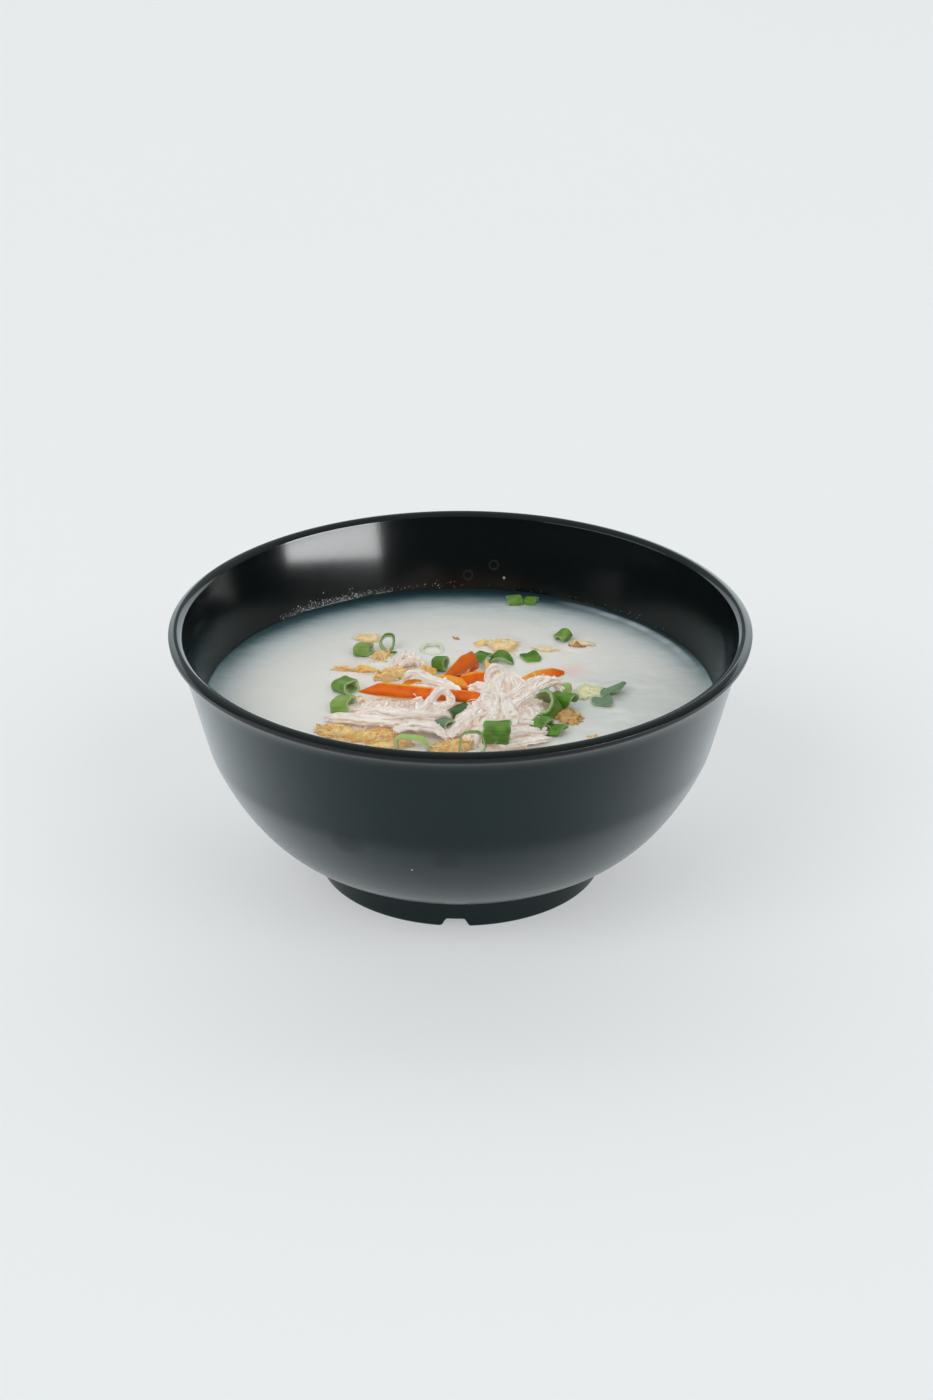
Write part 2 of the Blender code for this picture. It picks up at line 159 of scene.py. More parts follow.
def randomField(points, size, seed):
    # smooth noise from -1 to 1: random numbers on a lattice of that size, blended with eased weights
    scaled = points / size
    cell = np.floor(scaled).astype(np.int64)
    part = scaled - cell
    part = part * part * (3 - 2 * part)
    total = np.zeros(points.shape[:-1])
    for corner in np.ndindex(2, 2, 2):
        k = cell + corner
        mixed = (k[..., 0] * 73856093) ^ (k[..., 1] * 19349663) ^ (k[..., 2] * 83492791) ^ (seed * 2654435761)
        mixed &= 0xFFFFFFFF
        mixed = (mixed ^ (mixed >> 13)) * 1274126177 & 0xFFFFFFFF
        value = ((mixed ^ (mixed >> 16)) & 0xFFFF) / 32767.5 - 1
        total += value * np.prod(np.where(corner, part, 1 - part), axis=-1)
    return total


def smoothRoute(route, stations):
    # an even walk along the Catmull-Rom curve through a route's points
    route = np.asarray(route, float)
    ends = np.concatenate([[2 * route[0] - route[1]], route, [2 * route[-1] - route[-2]]])
    t = np.linspace(0, len(route) - 1 - 1e-9, stations * 4)
    k = t.astype(int)
    f = (t - k)[:, None]
    a, b, c, d = (ends[k + shift] for shift in range(4))
    curve = 0.5 * (2 * b + (c - a) * f + (2 * a - 5 * b + 4 * c - d) * f**2 + (3 * b - a - 3 * c + d) * f**3)
    walked = np.concatenate([[0], np.cumsum(np.linalg.norm(np.diff(curve, axis=0), axis=1))])
    even = np.linspace(0, walked[-1], stations)
    return np.stack([np.interp(even, walked, line) for line in curve.T], axis=1)


def carriedFrames(path):
    # directions along, across and out of a path: each station keeps the last one's side as nearly as it can
    along = np.gradient(path, axis=0)
    along /= np.linalg.norm(along, axis=1)[:, None] + 1e-12
    side = np.cross((0.0, 0.0, 1.0), along[0])
    if np.linalg.norm(side) < 0.1:
        side = np.cross((1.0, 0.3, 0), along[0])
    across = []
    for direction in along:
        side = side - direction * side.dot(direction)
        side /= np.linalg.norm(side)
        across.append(side)
    across = np.array(across)
    return along, across, np.cross(along, across)


def centred(rows, spot):
    # a grid moved so that the middle of its box lies at the spot
    flat = rows.reshape(-1, 3)
    return rows - (flat.min(axis=0) + flat.max(axis=0)) / 2 + spot


def onOval(centre, heading, halfLong, halfWide, u, v):
    # dish coordinates of a spot given as shares of an oval's half length and half width
    turn = math.radians(heading)
    a, b = u * halfLong, v * halfWide
    x = centre[0] + a * math.cos(turn) - b * math.sin(turn)
    return x, centre[1] + a * math.sin(turn) + b * math.cos(turn)


def strewn(rng, nearest, farthest):
    # a random spot in an oval, as shares of its half length and half width, and how far out it lies
    spin, share = rng.uniform(0, math.tau), math.sqrt(rng.uniform(nearest, farthest))
    return share * math.cos(spin), share * math.sin(spin), share


def turned(points, heading, tilt=0.0, roll=0.0):
    # rolls points about X, lifts their +X end by the tilt, then turns them to their heading, all in degrees
    a, b, c = (math.radians(v) for v in (heading, -tilt, roll))
    aboutX = np.array([[1, 0, 0], [0, math.cos(c), -math.sin(c)], [0, math.sin(c), math.cos(c)]])
    aboutY = np.array([[math.cos(b), 0, math.sin(b)], [0, 1, 0], [-math.sin(b), 0, math.cos(b)]])
    aboutZ = np.array([[math.cos(a), -math.sin(a), 0], [math.sin(a), math.cos(a), 0], [0, 0, 1]])
    return points @ (aboutZ @ aboutY @ aboutX).T


# ---- shader maths

class Value:
    # what comes out of a node, with arithmetic that adds Math nodes

    def __init__(self, finish, socket):
        self.finish, self.socket = finish, socket

    def math(self, operation, *others):
        return self.finish.node("ShaderNodeMath", {"operation": operation}, dict(enumerate((self, *others))))

    def __add__(self, other):
        return self.math("ADD", other)

    __radd__ = __add__

    def __sub__(self, other):
        return self.math("SUBTRACT", other)

    def __rsub__(self, other):
        return self.math("MULTIPLY_ADD", -1.0, other)

    def __mul__(self, other):
        return self.math("MULTIPLY", other)

    __rmul__ = __mul__

    def __pow__(self, other):
        return self.math("POWER", other)

    def between(self, low, high):
        # 0 up to low, 1 from high, eased in between
        sockets = {0: self, 1: low, 2: high, 3: 0.0, 4: 1.0}
        return self.finish.node("ShaderNodeMapRange", {"interpolation_type": "SMOOTHSTEP"}, sockets)


class Finish:
    # one material being built around its Principled shader

    def __init__(self, name, **constants):
        self.material = bpy.data.materials.new(name)
        self.material.use_nodes = True
        self.tree = self.material.node_tree
        self.shader = self.tree.nodes["Principled BSDF"]
        for key, value in constants.items():
            self.shader.inputs[key.replace("_", " ")].default_value = value

    def node(self, kind, settings=None, values=None, output=0):
        made = self.tree.nodes.new(kind)
        for key, value in (settings or {}).items():
            if key == "stops":
                self.setStops(made.color_ramp, value)
            else:
                setattr(made, key, value)
        for key, value in (values or {}).items():
            self.plug(made.inputs[key], value)
        return Value(self, made.outputs[output])

    def setStops(self, ramp, stops):
        while len(ramp.elements) < len(stops):
            ramp.elements.new(0.5)
        for element, (place, colour) in zip(ramp.elements, stops):
            element.position = place
            element.color = (*colour, 1)

    def plug(self, socket, value):
        if isinstance(value, Value):
            self.tree.links.new(value.socket, socket)
        elif socket.type == "RGBA" and len(value) == 3:
            socket.default_value = (*value, 1)
        else:
            socket.default_value = value

    def named(self, name):
        # a value stored on the piece's points
        return self.node("ShaderNodeAttribute", {"attribute_name": name}, output=2)

    def place(self, stretch=(1, 1, 1)):
        # object coordinates in metres, stretched along each axis
        spot = self.node("ShaderNodeTexCoord", output=3)
        return self.node("ShaderNodeMapping", None, {0: spot, 3: stretch})

    def noise(self, size, detail=2.0, at=None):
        # soft noise around 0.5, with features of that size, in metres unless it is given other coordinates
        spot = at or self.place()
        return self.node("ShaderNodeTexNoise", None, {"Vector": spot, "Scale": 1 / size, "Detail": detail})

    def near(self, centre, full, none):
        # 1 within a distance of a point, fading to 0 by a larger one, all in millimetres
        spot = {0: self.place(), 1: [v * mm for v in centre]}
        gap = self.node("ShaderNodeVectorMath", {"operation": "DISTANCE"}, spot, 1)
        return 1 - gap.between(full * mm, none * mm)

    def mix(self, factor, low, high):
        # from the low colour at 0 to the high one at 1
        return self.node("ShaderNodeMix", {"data_type": "RGBA"}, {0: factor, 6: low, 7: high}, output=2)

    def ramp(self, factor, stops):
        return self.node("ShaderNodeValToRGB", {"stops": stops}, {0: factor})

    def bump(self, height, depth):
        # height from 0 to 1, worth that depth in metres
        return self.node("ShaderNodeBump", None, {"Strength": 1.0, "Distance": depth, "Height": height})

    def finished(self, **sockets):
        for key, value in sockets.items():
            self.plug(self.shader.inputs[key.replace("_", " ")], value)
        return self.material


# ---- bowl

bowlShape = {
    "wall": 2.6, "bendFrom": 72.0, "bend": 0.003, "baseHeight": 8.8, "bellyRadius": 73.1, "bellyRise": 40.1,
    "bellyPower": 1.355, "bellyRoot": 6.42, "flare": 0.2533, "floorDrop": 1.2, "hub": 2.0,
    # where the wall starts above the base, and how far under the rim it ends inside and outside
    "wallBottom": 1.6, "wallTop": 2.2, "neckTop": 13.0, "wallSteps": 46, "crowding": 1.9,
    # the lip: a low dome between two tighter rounds, and the neck as drops under the top and how far each
    # stands proud
    "domeInset": 2.3, "domeRound": 3.0, "domeReach": 46, "innerRound": 0.8, "outerRound": 0.16,
    "neck": ((2.6, 2.4), (3.3, 1.5), (4.2, 0.75), (5.6, 0.28), (7.6, 0.05)),
    "footRadius": 47.0, "footWall": 4.2, "footRecess": 6.8, "footEdge": 0.8,
    # the notches' lift dies out so far under the base, and takes in so much of the recess
    "notches": 3, "notchTurn": -92.0, "notchLow": 4.8, "notchHigh": 2.8, "notchHeight": 2.7,
    "notchRoom": 2.3, "notchMargin": 1.2,
    # where the inside's finish ends on the neck, as shares of its rows, and over how many rows the lip's
    # own begins
    "insideEnd": 0.55, "insideFade": 0.45, "lipFade": 3, "sides": 400,
    # marks on the wall: middle and size of the finger marks low on the front, of the dried drops high on
    # the back wall and of the white specks
    "fingers": (((-35.2, -74.3, 46.0), 6.4), ((-4.0, -81.1, 43.8), 5.8)),
    "drops": (((11.6, 85.2, 69.6), 1.6), ((2.5, 85.0, 65.9), 1.6)),
    "specks": (((-15.0, -76.9, 37.8), 0.5), ((15.2, 83.5, 65.4), 0.6)),
}


def bellyRadius(z):
    # outside radius at a height: a superellipse that rounds up into a wall flaring evenly outwards
    s = bowlShape
    below = np.clip(1 - (z - s["baseHeight"]) / s["bellyRise"], 0, 1)
    belly = s["bellyRadius"] * (1 - below ** s["bellyPower"]) ** (1 / s["bellyRoot"])
    return belly + s["flare"] * (z - s["baseHeight"])


def arcPoints(centreR, centreZ, radius, start, end, steps):
    # points of an arc from start to end degrees, 0 pointing outwards and 90 up
    a = np.radians(np.linspace(start, end, steps))
    return np.stack([centreR + radius * np.cos(a), centreZ + radius * np.sin(a)], axis=1)


def outerWall(below):
    # the outside from the foot's top to a little below the rim, with its heights packed where it curves most
    s = bowlShape
    low, high = s["baseHeight"] + s["wallBottom"], bowlHigh[2] - below
    z = low + (high - low) * np.linspace(0, 1, s["wallSteps"]) ** s["crowding"]
    return np.stack([bellyRadius(z), z], axis=1)


def innerWall(shrink=0.0):
    # the outside moved in along its own normal by the wall, which bends a little further out towards the rim
    outer = outerWall(bowlShape["wallTop"])
    step = np.gradient(outer, axis=0)
    step /= np.linalg.norm(step, axis=1)[:, None]
    bend = bowlShape["bend"] * np.clip(outer[:, 1] - bowlShape["bendFrom"], 0, None) ** 2
    moved = outer + np.stack([-step[:, 1], step[:, 0]], axis=1) * (bowlShape["wall"] + shrink - bend)[:, None]
    return moved[1:]


def bowlProfile():
    # (radius, height) from the middle of the inside, up the inner wall, over the lip, down the outside and
    # round the foot to the recess, then the rows at which the lip starts and ends and how many its outer
    # round and the neck have
    s = bowlShape
    rim, top = bowlHigh[0] + 0.05, bowlHigh[2]
    inner, outer = innerWall(), outerWall(s["neckTop"])[::-1]
    floorZ = inner[0, 1] - s["floorDrop"]
    floor = np.stack([np.linspace(s["hub"], inner[0, 0] * 0.85, 8), np.full(8, floorZ)], axis=1)
    reach, dome = s["domeReach"], s["domeRound"]
    crest = rim - s["domeInset"], top - dome
    outEdge, inEdge = (arcPoints(*crest, dome - s[key], 90 + side * reach, 0, 2)[0]
                       for key, side in (("outerRound", -1), ("innerRound", 1)))
    lipIn = arcPoints(*inEdge, s["innerRound"], 162, 90 + reach, 6)[:-1]
    domed = arcPoints(*crest, dome, 90 + reach, 90 - reach, 18)
    lipOut = arcPoints(*outEdge, s["outerRound"], 90 - reach, -20, 7)[1:]
    neck = [(bellyRadius(top - drop) + proud, top - drop) for drop, proud in s["neck"]]
    flare = smoothRoute([lipOut[-1], *neck, outer[0]], 22)[1:-1]
    foot, edge, recess = s["footRadius"], s["footEdge"], s["footRecess"]
    inside = foot - s["footWall"]
    footTop = s["baseHeight"] + 0.9
    footOut = np.stack([np.linspace(foot + 0.3, foot, 7), np.linspace(footTop, edge, 7)], axis=1)
    under = arcPoints(foot - edge, edge, edge, 0, -90, 5)[1:]
    underIn = arcPoints(inside + edge, edge, edge, -90, -180, 5)
    footIn = np.stack([np.linspace(inside, inside - 0.8, 6), np.linspace(edge, recess - 0.6, 6)], axis=1)[1:]
    hollow = np.stack([np.linspace(inside - 1.6, s["hub"], 8), np.full(8, recess)], axis=1)
    runs = floor, inner, lipIn, domed, lipOut, flare, outer, footOut, under, underIn, footIn, hollow
    profile = np.concatenate(runs)
    lipStart = len(floor) + len(inner)
    return profile, lipStart, lipStart + len(lipIn) + len(domed), len(lipOut), len(flare)


def notchRise(angle):
    # how far the foot's underside is lifted at an azimuth: a trapezoid with soft corners at each notch
    s = bowlShape
    step = math.tau / s["notches"]
    off = (angle - math.radians(s["notchTurn"]) + step / 2) % step - step / 2
    away = np.abs(off) * s["footRadius"]
    t = np.clip((s["notchLow"] - away) / (s["notchLow"] - s["notchHigh"]), 0, 1)
    return s["notchHeight"] * t * t * (3 - 2 * t)


def makeBowl(finish):
    # the profile turned about the axis, the foot's underside lifted at the notches
    s = bowlShape
    profile, lipStart, lipEnd, outRows, neckRows = bowlProfile()
    angle = fullTurn(s["sides"])
    r, z = profile[:, 0, None], profile[:, 1, None]
    room = s["baseHeight"] - s["notchRoom"]
    isFoot = (z < room) & (r > s["footRadius"] - s["footWall"] - s["notchMargin"])
    lifted = np.where(isFoot, z + notchRise(angle) * (1 - z / room), z + 0 * angle)
    rows = np.stack([r * np.cos(angle), r * np.sin(angle), lifted], axis=-1)
    row = np.arange(len(profile))
    insideEnd = lipEnd + outRows + neckRows * s["insideEnd"]
    values = {
        "inside": np.clip((insideEnd - row) / (neckRows * s["insideFade"]), 0, 1),
        "lip": np.clip((row - lipStart) / s["lipFade"], 0, 1) * np.clip((lipEnd - row) / outRows, 0, 1),
        "polish": np.clip((lipEnd + 1 - row) / s["lipFade"], 0, 1),
    }
    batch = Batch()
    batch.addTube(rows, **{key: value[:, None] + 0 * angle for key, value in values.items()})
    batch.piece("bowl_shell", finish, "black_melamine", "bowl")


def melamineFinish():
    # near-black moulded melamine: satin outside with a painted sheen, a pale colour mixed into the base colour
    # where the surface turns away from the camera, polished inside and over the lip, with finger marks, dried
    # drops and specks
    f = Finish("melamine", IOR=1.37, Coat_IOR=1.5, Coat_Roughness=0.06)
    inside, polish = f.named("inside"), f.named("polish")
    height = f.node("ShaderNodeSeparateXYZ", None, {0: f.place()}, 2)
    cloud = f.noise(0.018, 3.0)
    scuff = f.noise(0.0012, 2.0, f.place((1, 1, 0.12)))
    outer = f.mix(cloud, (0.0003, 0.0092, 0.0105), (0.0011, 0.0152, 0.0166))
    # painted sheen: Layer Weight mixes a pale blue-grey into the outside's base colour towards its outline,
    # with less of it low on the belly
    away = (f.node("ShaderNodeLayerWeight", None, {"Blend": 0.5}, output=1) - 0.2).math("MAXIMUM", 0.0)
    paintedSheen = away**2.5 * 1.95 * (0.15 + height.between(0.008, 0.06) * 0.85)
    outer = f.mix(paintedSheen, outer, (0.47, 0.53, 0.565))
    black = f.mix(f.named("lip"), (0.0048, 0.0070, 0.0074), (0.0012, 0.0034, 0.0038))
    colour = f.mix(inside, outer, black)
    for centre, size in bowlShape["fingers"]:
        smear = f.near(centre, size * 0.4, size * 1.15) * (0.1 + cloud.between(0.3, 0.6) * 0.5)
        colour = f.mix(smear, colour, (0.0003, 0.0045, 0.0056))
    for centre, size in bowlShape["drops"]:
        ring = f.near(centre, size, size * 1.3) * (1 - f.near(centre, size * 0.65, size * 0.95))
        colour = f.mix(ring * 0.5, colour, (0.035, 0.042, 0.042))
    for centre, size in bowlShape["specks"]:
        colour = f.mix(f.near(centre, size * 0.5, size), colour, (0.4, 0.42, 0.43))
    roughness = (0.2 + cloud * 0.06 + scuff * 0.04) * (1 - polish) + polish * (0.12 + scuff * 0.04)
    bump = f.bump(scuff, 0.000006)
    return f.finished(Base_Color=colour, Roughness=roughness, Coat_Weight=f.named("lip"), Normal=bump)


# ---- congee

congeeShape = {
    # the mesh: columns, rows of the top, how they crowd towards the wall, the share left open in the
    # middle, how far the congee reaches into the wall, and where its side stops and its edge lies, below
    # and above the level
    "columns": 400, "topRows": 120, "crowding": 1.25, "hub": 0.015,
    "overlap": 0.25, "sideTop": 1.0, "edgeRise": 0.8,
    "meniscus": 1.1, "meniscusReach": 1.6, "crown": 0.5, "swell": 0.2, "grain": 0.05, "rimLift": 0.35,
    # the painted shade by the wall narrows this much per millimetre, and starts this much paler, at the sides
    # and front than at the back; the congee is no deeper there
    "paintedShadeNarrows": 0.2, "paintedShadeLifts": 7.0,
    # a painted sheen, a pale line along the wall with a dark edge against it, runs from one azimuth to the next
    # and fades over the third number
    "film": (12.0, 66.0, 16.0),
    # stains that colour the surface, the first a broad grey that makes the right side darker, the others oil
    # and juice: x, y, radius, strength and tint
    "stains": (
        (52.0, -8.0, 46.0, 1.3, (0.64, 0.67, 0.655)), (38.0, 19.0, 8.5, 0.6, (0.84, 0.56, 0.50)),
        (68.0, 19.0, 4.0, 0.4, (0.82, 0.80, 0.58)), (-55.0, 0.0, 4.5, 0.35, (0.83, 0.80, 0.64)),
        (-42.0, -27.0, 5.0, 0.35, (0.84, 0.78, 0.60)), (-27.0, 30.0, 7.5, 0.45, (0.86, 0.72, 0.47)),
        (-33.0, -30.0, 12.0, 0.5, (0.86, 0.70, 0.48)), (27.0, 33.0, 8.0, 0.35, (0.86, 0.76, 0.56)),
        (14.5, 37.0, 9.0, 0.35, (0.86, 0.76, 0.56)), (42.0, 4.0, 8.0, 0.4, (0.80, 0.78, 0.56)),
        (35.0, -17.0, 9.0, 0.4, (0.74, 0.66, 0.44)), (-35.0, 18.0, 7.0, 0.3, (0.86, 0.76, 0.54)),
        (-2.0, -39.0, 10.0, 0.5, (0.86, 0.72, 0.46)),
    ),
    # colours from the wall inwards, depth in millimetres and colour: thin starch over the bowl is dark right at
    # the edge, and further in painted shade of the wall darkens and cools the congee up to its own colour in
    # the middle
    "paintedWallShadeRamp": (
        (0.0, (0.004, 0.010, 0.012)), (2.0, (0.012, 0.032, 0.038)), (4.4, (0.056, 0.105, 0.118)),
        (5.8, (0.14, 0.21, 0.23)), (7.6, (0.25, 0.33, 0.35)), (9.0, (0.36, 0.42, 0.445)),
        (11.2, (0.47, 0.53, 0.55)), (14.0, (0.60, 0.65, 0.67)), (18.0, (0.70, 0.735, 0.735)),
        (26.0, (0.79, 0.795, 0.775)), (40.0, (0.82, 0.815, 0.785)),
    ),
}
toppingNodes = [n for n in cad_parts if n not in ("bowl", "congee")]


def wallRadius(z):
    # the inner wall's radius at a height
    inner = innerWall()
    return np.interp(z, inner[:, 1], inner[:, 0])


def congeeHeight(x, y):
    # the level, a slight crown, slow swells and rice-sized grains, a small rise at each piece that lies in
    # it, and the meniscus that climbs the wall
    s = congeeShape
    reach = wallRadius(level)
    r = np.hypot(x, y)
    flat = np.stack([x, y, np.zeros_like(x)], axis=-1)
    z = level + s["crown"] * (1 - (r / reach) ** 2)
    z = z + s["swell"] * (0.6 * randomField(flat, 11.0, 3) + 0.4 * randomField(flat, 5.0, 7))
    z = z + s["grain"] * (randomField(flat, 2.2, 11) + 0.6 * randomField(flat, 1.2, 13))
    for node in toppingNodes:
        low, high = (np.array(corner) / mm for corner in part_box(node))
        if low[2] < level:
            (cx, cy), (halfX, halfY) = ((low + high) / 2)[:2], (high - low)[:2] / 2
            away = np.hypot((x - cx) / (halfX + 1), (y - cy) / (halfY + 1))
            z = z + s["rimLift"] * np.exp(-np.clip(away - 0.75, 0, None) ** 2 * 9) * (away < 3)
    return z + s["meniscus"] * np.exp(-np.clip(reach - r, 0, None) / s["meniscusReach"])


def makeCongee(finish):
    # a flat bottom, rings up the inside of the wall, then rings over the top at the congee's height
    s = congeeShape
    angle = fullTurn(s["columns"])
    inner = innerWall(-s["overlap"])
    side = inner[inner[:, 1] < level - s["sideTop"]][::3]
    edge = wallRadius(level + s["edgeRise"]) + s["overlap"]
    share = 1 - np.linspace(0, 1, s["topRows"]) ** s["crowding"]
    radii = edge * (share * (1 - s["hub"]) + s["hub"])
    x, y = radii[:, None] * np.cos(angle), radii[:, None] * np.sin(angle)
    top = np.stack([x, y, congeeHeight(x, y)], axis=-1)
    r, z = side[:, 0, None], side[:, 1, None]
    below = np.stack([r * np.cos(angle), r * np.sin(angle), z + 0 * angle], axis=-1)
    bottom = below[:1] * np.array([0.5, 0.5, 1.0])
    rows = np.concatenate([bottom, below, top])
    fromWall = np.clip(edge - np.hypot(rows[..., 0], rows[..., 1]), 0, None)
    ahead = 1 - np.clip(np.sin(angle), 0, 1)
    azimuth = (np.degrees(angle) + 180) % 360 - 180
    start, end, fade = s["film"]
    film = np.clip((azimuth - start) / fade, 0, 1) * np.clip((end - azimuth) / fade, 0, 1) + 0 * fromWall
    # depth: distance from the wall, stretched at the sides and front, which sets how far the painted shade of
    # the wall reaches
    depth = fromWall * (1 + s["paintedShadeNarrows"] * ahead) + s["paintedShadeLifts"] * ahead**1.3
    batch = Batch()
    batch.addTube(rows, fromWall=fromWall, depth=depth, film=film)
    batch.piece("congee_surface", finish, "rice_congee", "congee")


def congeeFinish():
    # cloudy rice starch, warm and pale in the middle and drawn out in faint streaks; painted shade darkens and
    # cools it towards the wall, where thin starch over the bowl is also dark, and a painted sheen runs along
    # the wall at the back right, with a dark edge against the wall
    f = Finish("congee", IOR=1.36, Subsurface_Weight=0.12, Subsurface_Scale=0.003,
               Subsurface_Radius=(1.0, 0.85, 0.75))
    cloud = f.noise(0.010, 3.0, f.place((0.5, 1, 1)))
    streak = f.noise(0.0018, 3.0, f.place((0.3, 1, 1)))
    depth, fromWall, film = (f.named(n) for n in ("depth", "fromWall", "film"))
    away = depth + (cloud - 0.5) * 4.5 * depth.between(4.0, 10.0)
    away = away + (streak - 0.5) * 2.4 * depth.between(2.0, 6.0)
    # painted shade: the ramp runs from near-black at the wall, where thin starch over the bowl is dark, through
    # cool greys to the congee's own colour
    deepest = congeeShape["paintedWallShadeRamp"][-1][0]
    stops = [(at / deepest, colour) for at, colour in congeeShape["paintedWallShadeRamp"]]
    colour = f.ramp((away + film * 1.5) * (1 / deepest), stops)
    for x, y, radius, strength, tint in congeeShape["stains"]:
        stain = f.near((x, y, level), 0.0, radius) * strength * cloud.between(0.2, 0.55)
        colour = f.mix(stain, colour, tint)
    colour = f.mix(streak.between(0.42, 0.72) * 0.15 * depth.between(6.0, 14.0), colour, (0.86, 0.855, 0.83))
    # painted shade: a dark edge against the wall under the painted sheen
    colour = f.mix(film * (1 - fromWall.between(0.9, 1.7)) * 0.85, colour, (0.006, 0.014, 0.017))
    # painted sheen: a pale bluish line just off the wall at the back right
    line = film * fromWall.between(1.2, 2.4) * (1 - fromWall.between(3.0, 4.6))
    cloudy = 0.2 + cloud.between(0.3, 0.6) * 0.4 + streak * 0.2
    colour = f.mix(line * cloudy, colour, (0.62, 0.67, 0.74))
    grain = f.noise(0.0009, 2.0) * 0.5 + f.noise(0.0024, 2.0) * 0.5
    return f.finished(Base_Color=colour, Roughness=0.27 + cloud * 0.12, Normal=f.bump(grain, 0.00014))


# ---- shredded chicken

def fibreTube(path, across, out, width, thickness, seed, sides, frayed=False):
    # a shred of meat: an oval section with slowly turning ribs, its width uneven and its ends drawn in
    stations = len(path)
    s = np.linspace(0, 1, stations)[:, None]
    a = fullTurn(sides)
    fromEnd = np.minimum(s, 1 - s) * stations
    size = np.sqrt(np.clip(fromEnd / 2.4 + 0.05, 0, 1)) * (1 if frayed else np.clip(0.5 + fromEnd / 12, 0, 1))
    size = size * (1 + 0.13 * np.sin(6.3 * s + seed) + 0.08 * np.sin(15 * s + 2.3 * seed))
    ribs = 1 + 0.1 * np.cos(5 * a + seed + 2.5 * s) + 0.06 * np.cos(8 * a - 1.3 * seed - 3 * s)
    ribs = ribs + 0.05 * np.sin(29 * s + 3 * a + seed)
    c, d = np.cos(a + 0.5 * np.sin(4 * s + seed)), np.sin(a + 0.5 * np.sin(4 * s + seed))
    reach = ribs * size / 2
    points = path[:, None, :] + across[:, None, :] * (c * width * reach)[..., None]
    points = points + out[:, None, :] * (d * thickness * reach)[..., None]
    lumps = randomField(points, 1.4, int(seed * 7)) + 0.9 * randomField(points, 0.7, int(seed * 7) + 1)
    points = points + (points - path[:, None, :]) * (0.5 * lumps)[..., None]
    walked = np.linalg.norm(np.diff(path, axis=0), axis=1).sum()
    side, height = c * width / 2 + seed * 3.1, d * thickness / 2
    return points, {"fibreX": side, "fibreY": height, "fibreZ": s * walked + 0 * a}


def addFibreTube(batch, points, fibre, blush, depth=0.0):
    # its lift over the congee, less the depth it lies under others, tells the finish where to paint shade in
    # the hollows
    batch.addTube(points, blush=blush, lift=points[..., 2] - level - depth, **fibre)


def addShred(batch, route, width, thickness, seed, blush, strands, stations, sides, frays):
    # one tube, or a bundle of thinner ones that cross as they run side by side, with torn fibres at the ends
    rng = np.random.default_rng(int(seed * 1000) + 7)
    path = smoothRoute(route, stations)
    along, across, out = carriedFrames(path)
    s = np.linspace(0, 1, stations)[:, None]
    for k in range(strands):
        core, share = path, 1.0
        if strands > 1:
            spin = math.tau * k / (strands - 1) + rng.uniform(-0.4, 0.4) + rng.uniform(-1.0, 1.0) * (s - 0.5)
            spread = (0.36 if k else 0.05) * (1 + 0.3 * np.sin(5 * s + k + seed))
            core = path + across * np.cos(spin) * width * spread + out * np.sin(spin) * thickness * spread
            core = core + along * rng.uniform(-1.1, 1.1)
            share = rng.uniform(0.24, 0.52) if k else 0.7
        fields = (randomField(core, 2.2, int(seed * 100) + 2 * k + way)[:, None] for way in (0, 1))
        drift, lift = (0.32 * field for field in fields)
        core = core + across * drift + out * lift
        sizes = width * share, thickness * share * 1.08
        addFibreTube(batch, *fibreTube(core, across, out, *sizes, seed + k * 1.7, sides, strands > 1), blush)
    for end, way in ((0, -1), (-1, 1)):
        for k in range(frays):
            start = path[end] + across[end] * rng.uniform(-0.4, 0.4) * width - along[end] * way * 0.8
            reach = rng.uniform(1.4, 3.0)
            course = along[end] * way + across[end] * rng.normal(0, 0.35) + out[end] * rng.normal(-0.1, 0.25)
            t = np.linspace(0, 1, 5)[:, None]
            line = start + course * reach * t + across[end] * rng.normal(0, 0.5) * t**2
            thin = rng.uniform(0.3, 0.55)
            fray = fibreTube(line, *carriedFrames(line)[1:], thin, thin * 0.8, seed + k, 5)
            addFibreTube(batch, *fray, blush)


chickenShape = {
    # a shred's strands, stations, sides and torn fibres at each end: one that stands out, one strewn over a
    # heap and a knob, and how much stouter than listed the first kind is
    "main": (8, 26, 8, 3), "loose": (1, 14, 8, 1), "knob": (1, 9, 7, 0), "stout": 1.1,
    "looseLength": (5, 13), "looseWidth": (1.0, 2.6), "knobsPerShred": 1.6, "wisps": 75,
    # the heaps' cores: rows, columns and how far they reach down into the congee
    "coreRows": 40, "coreColumns": 90, "coreSkirt": 2.0,
}
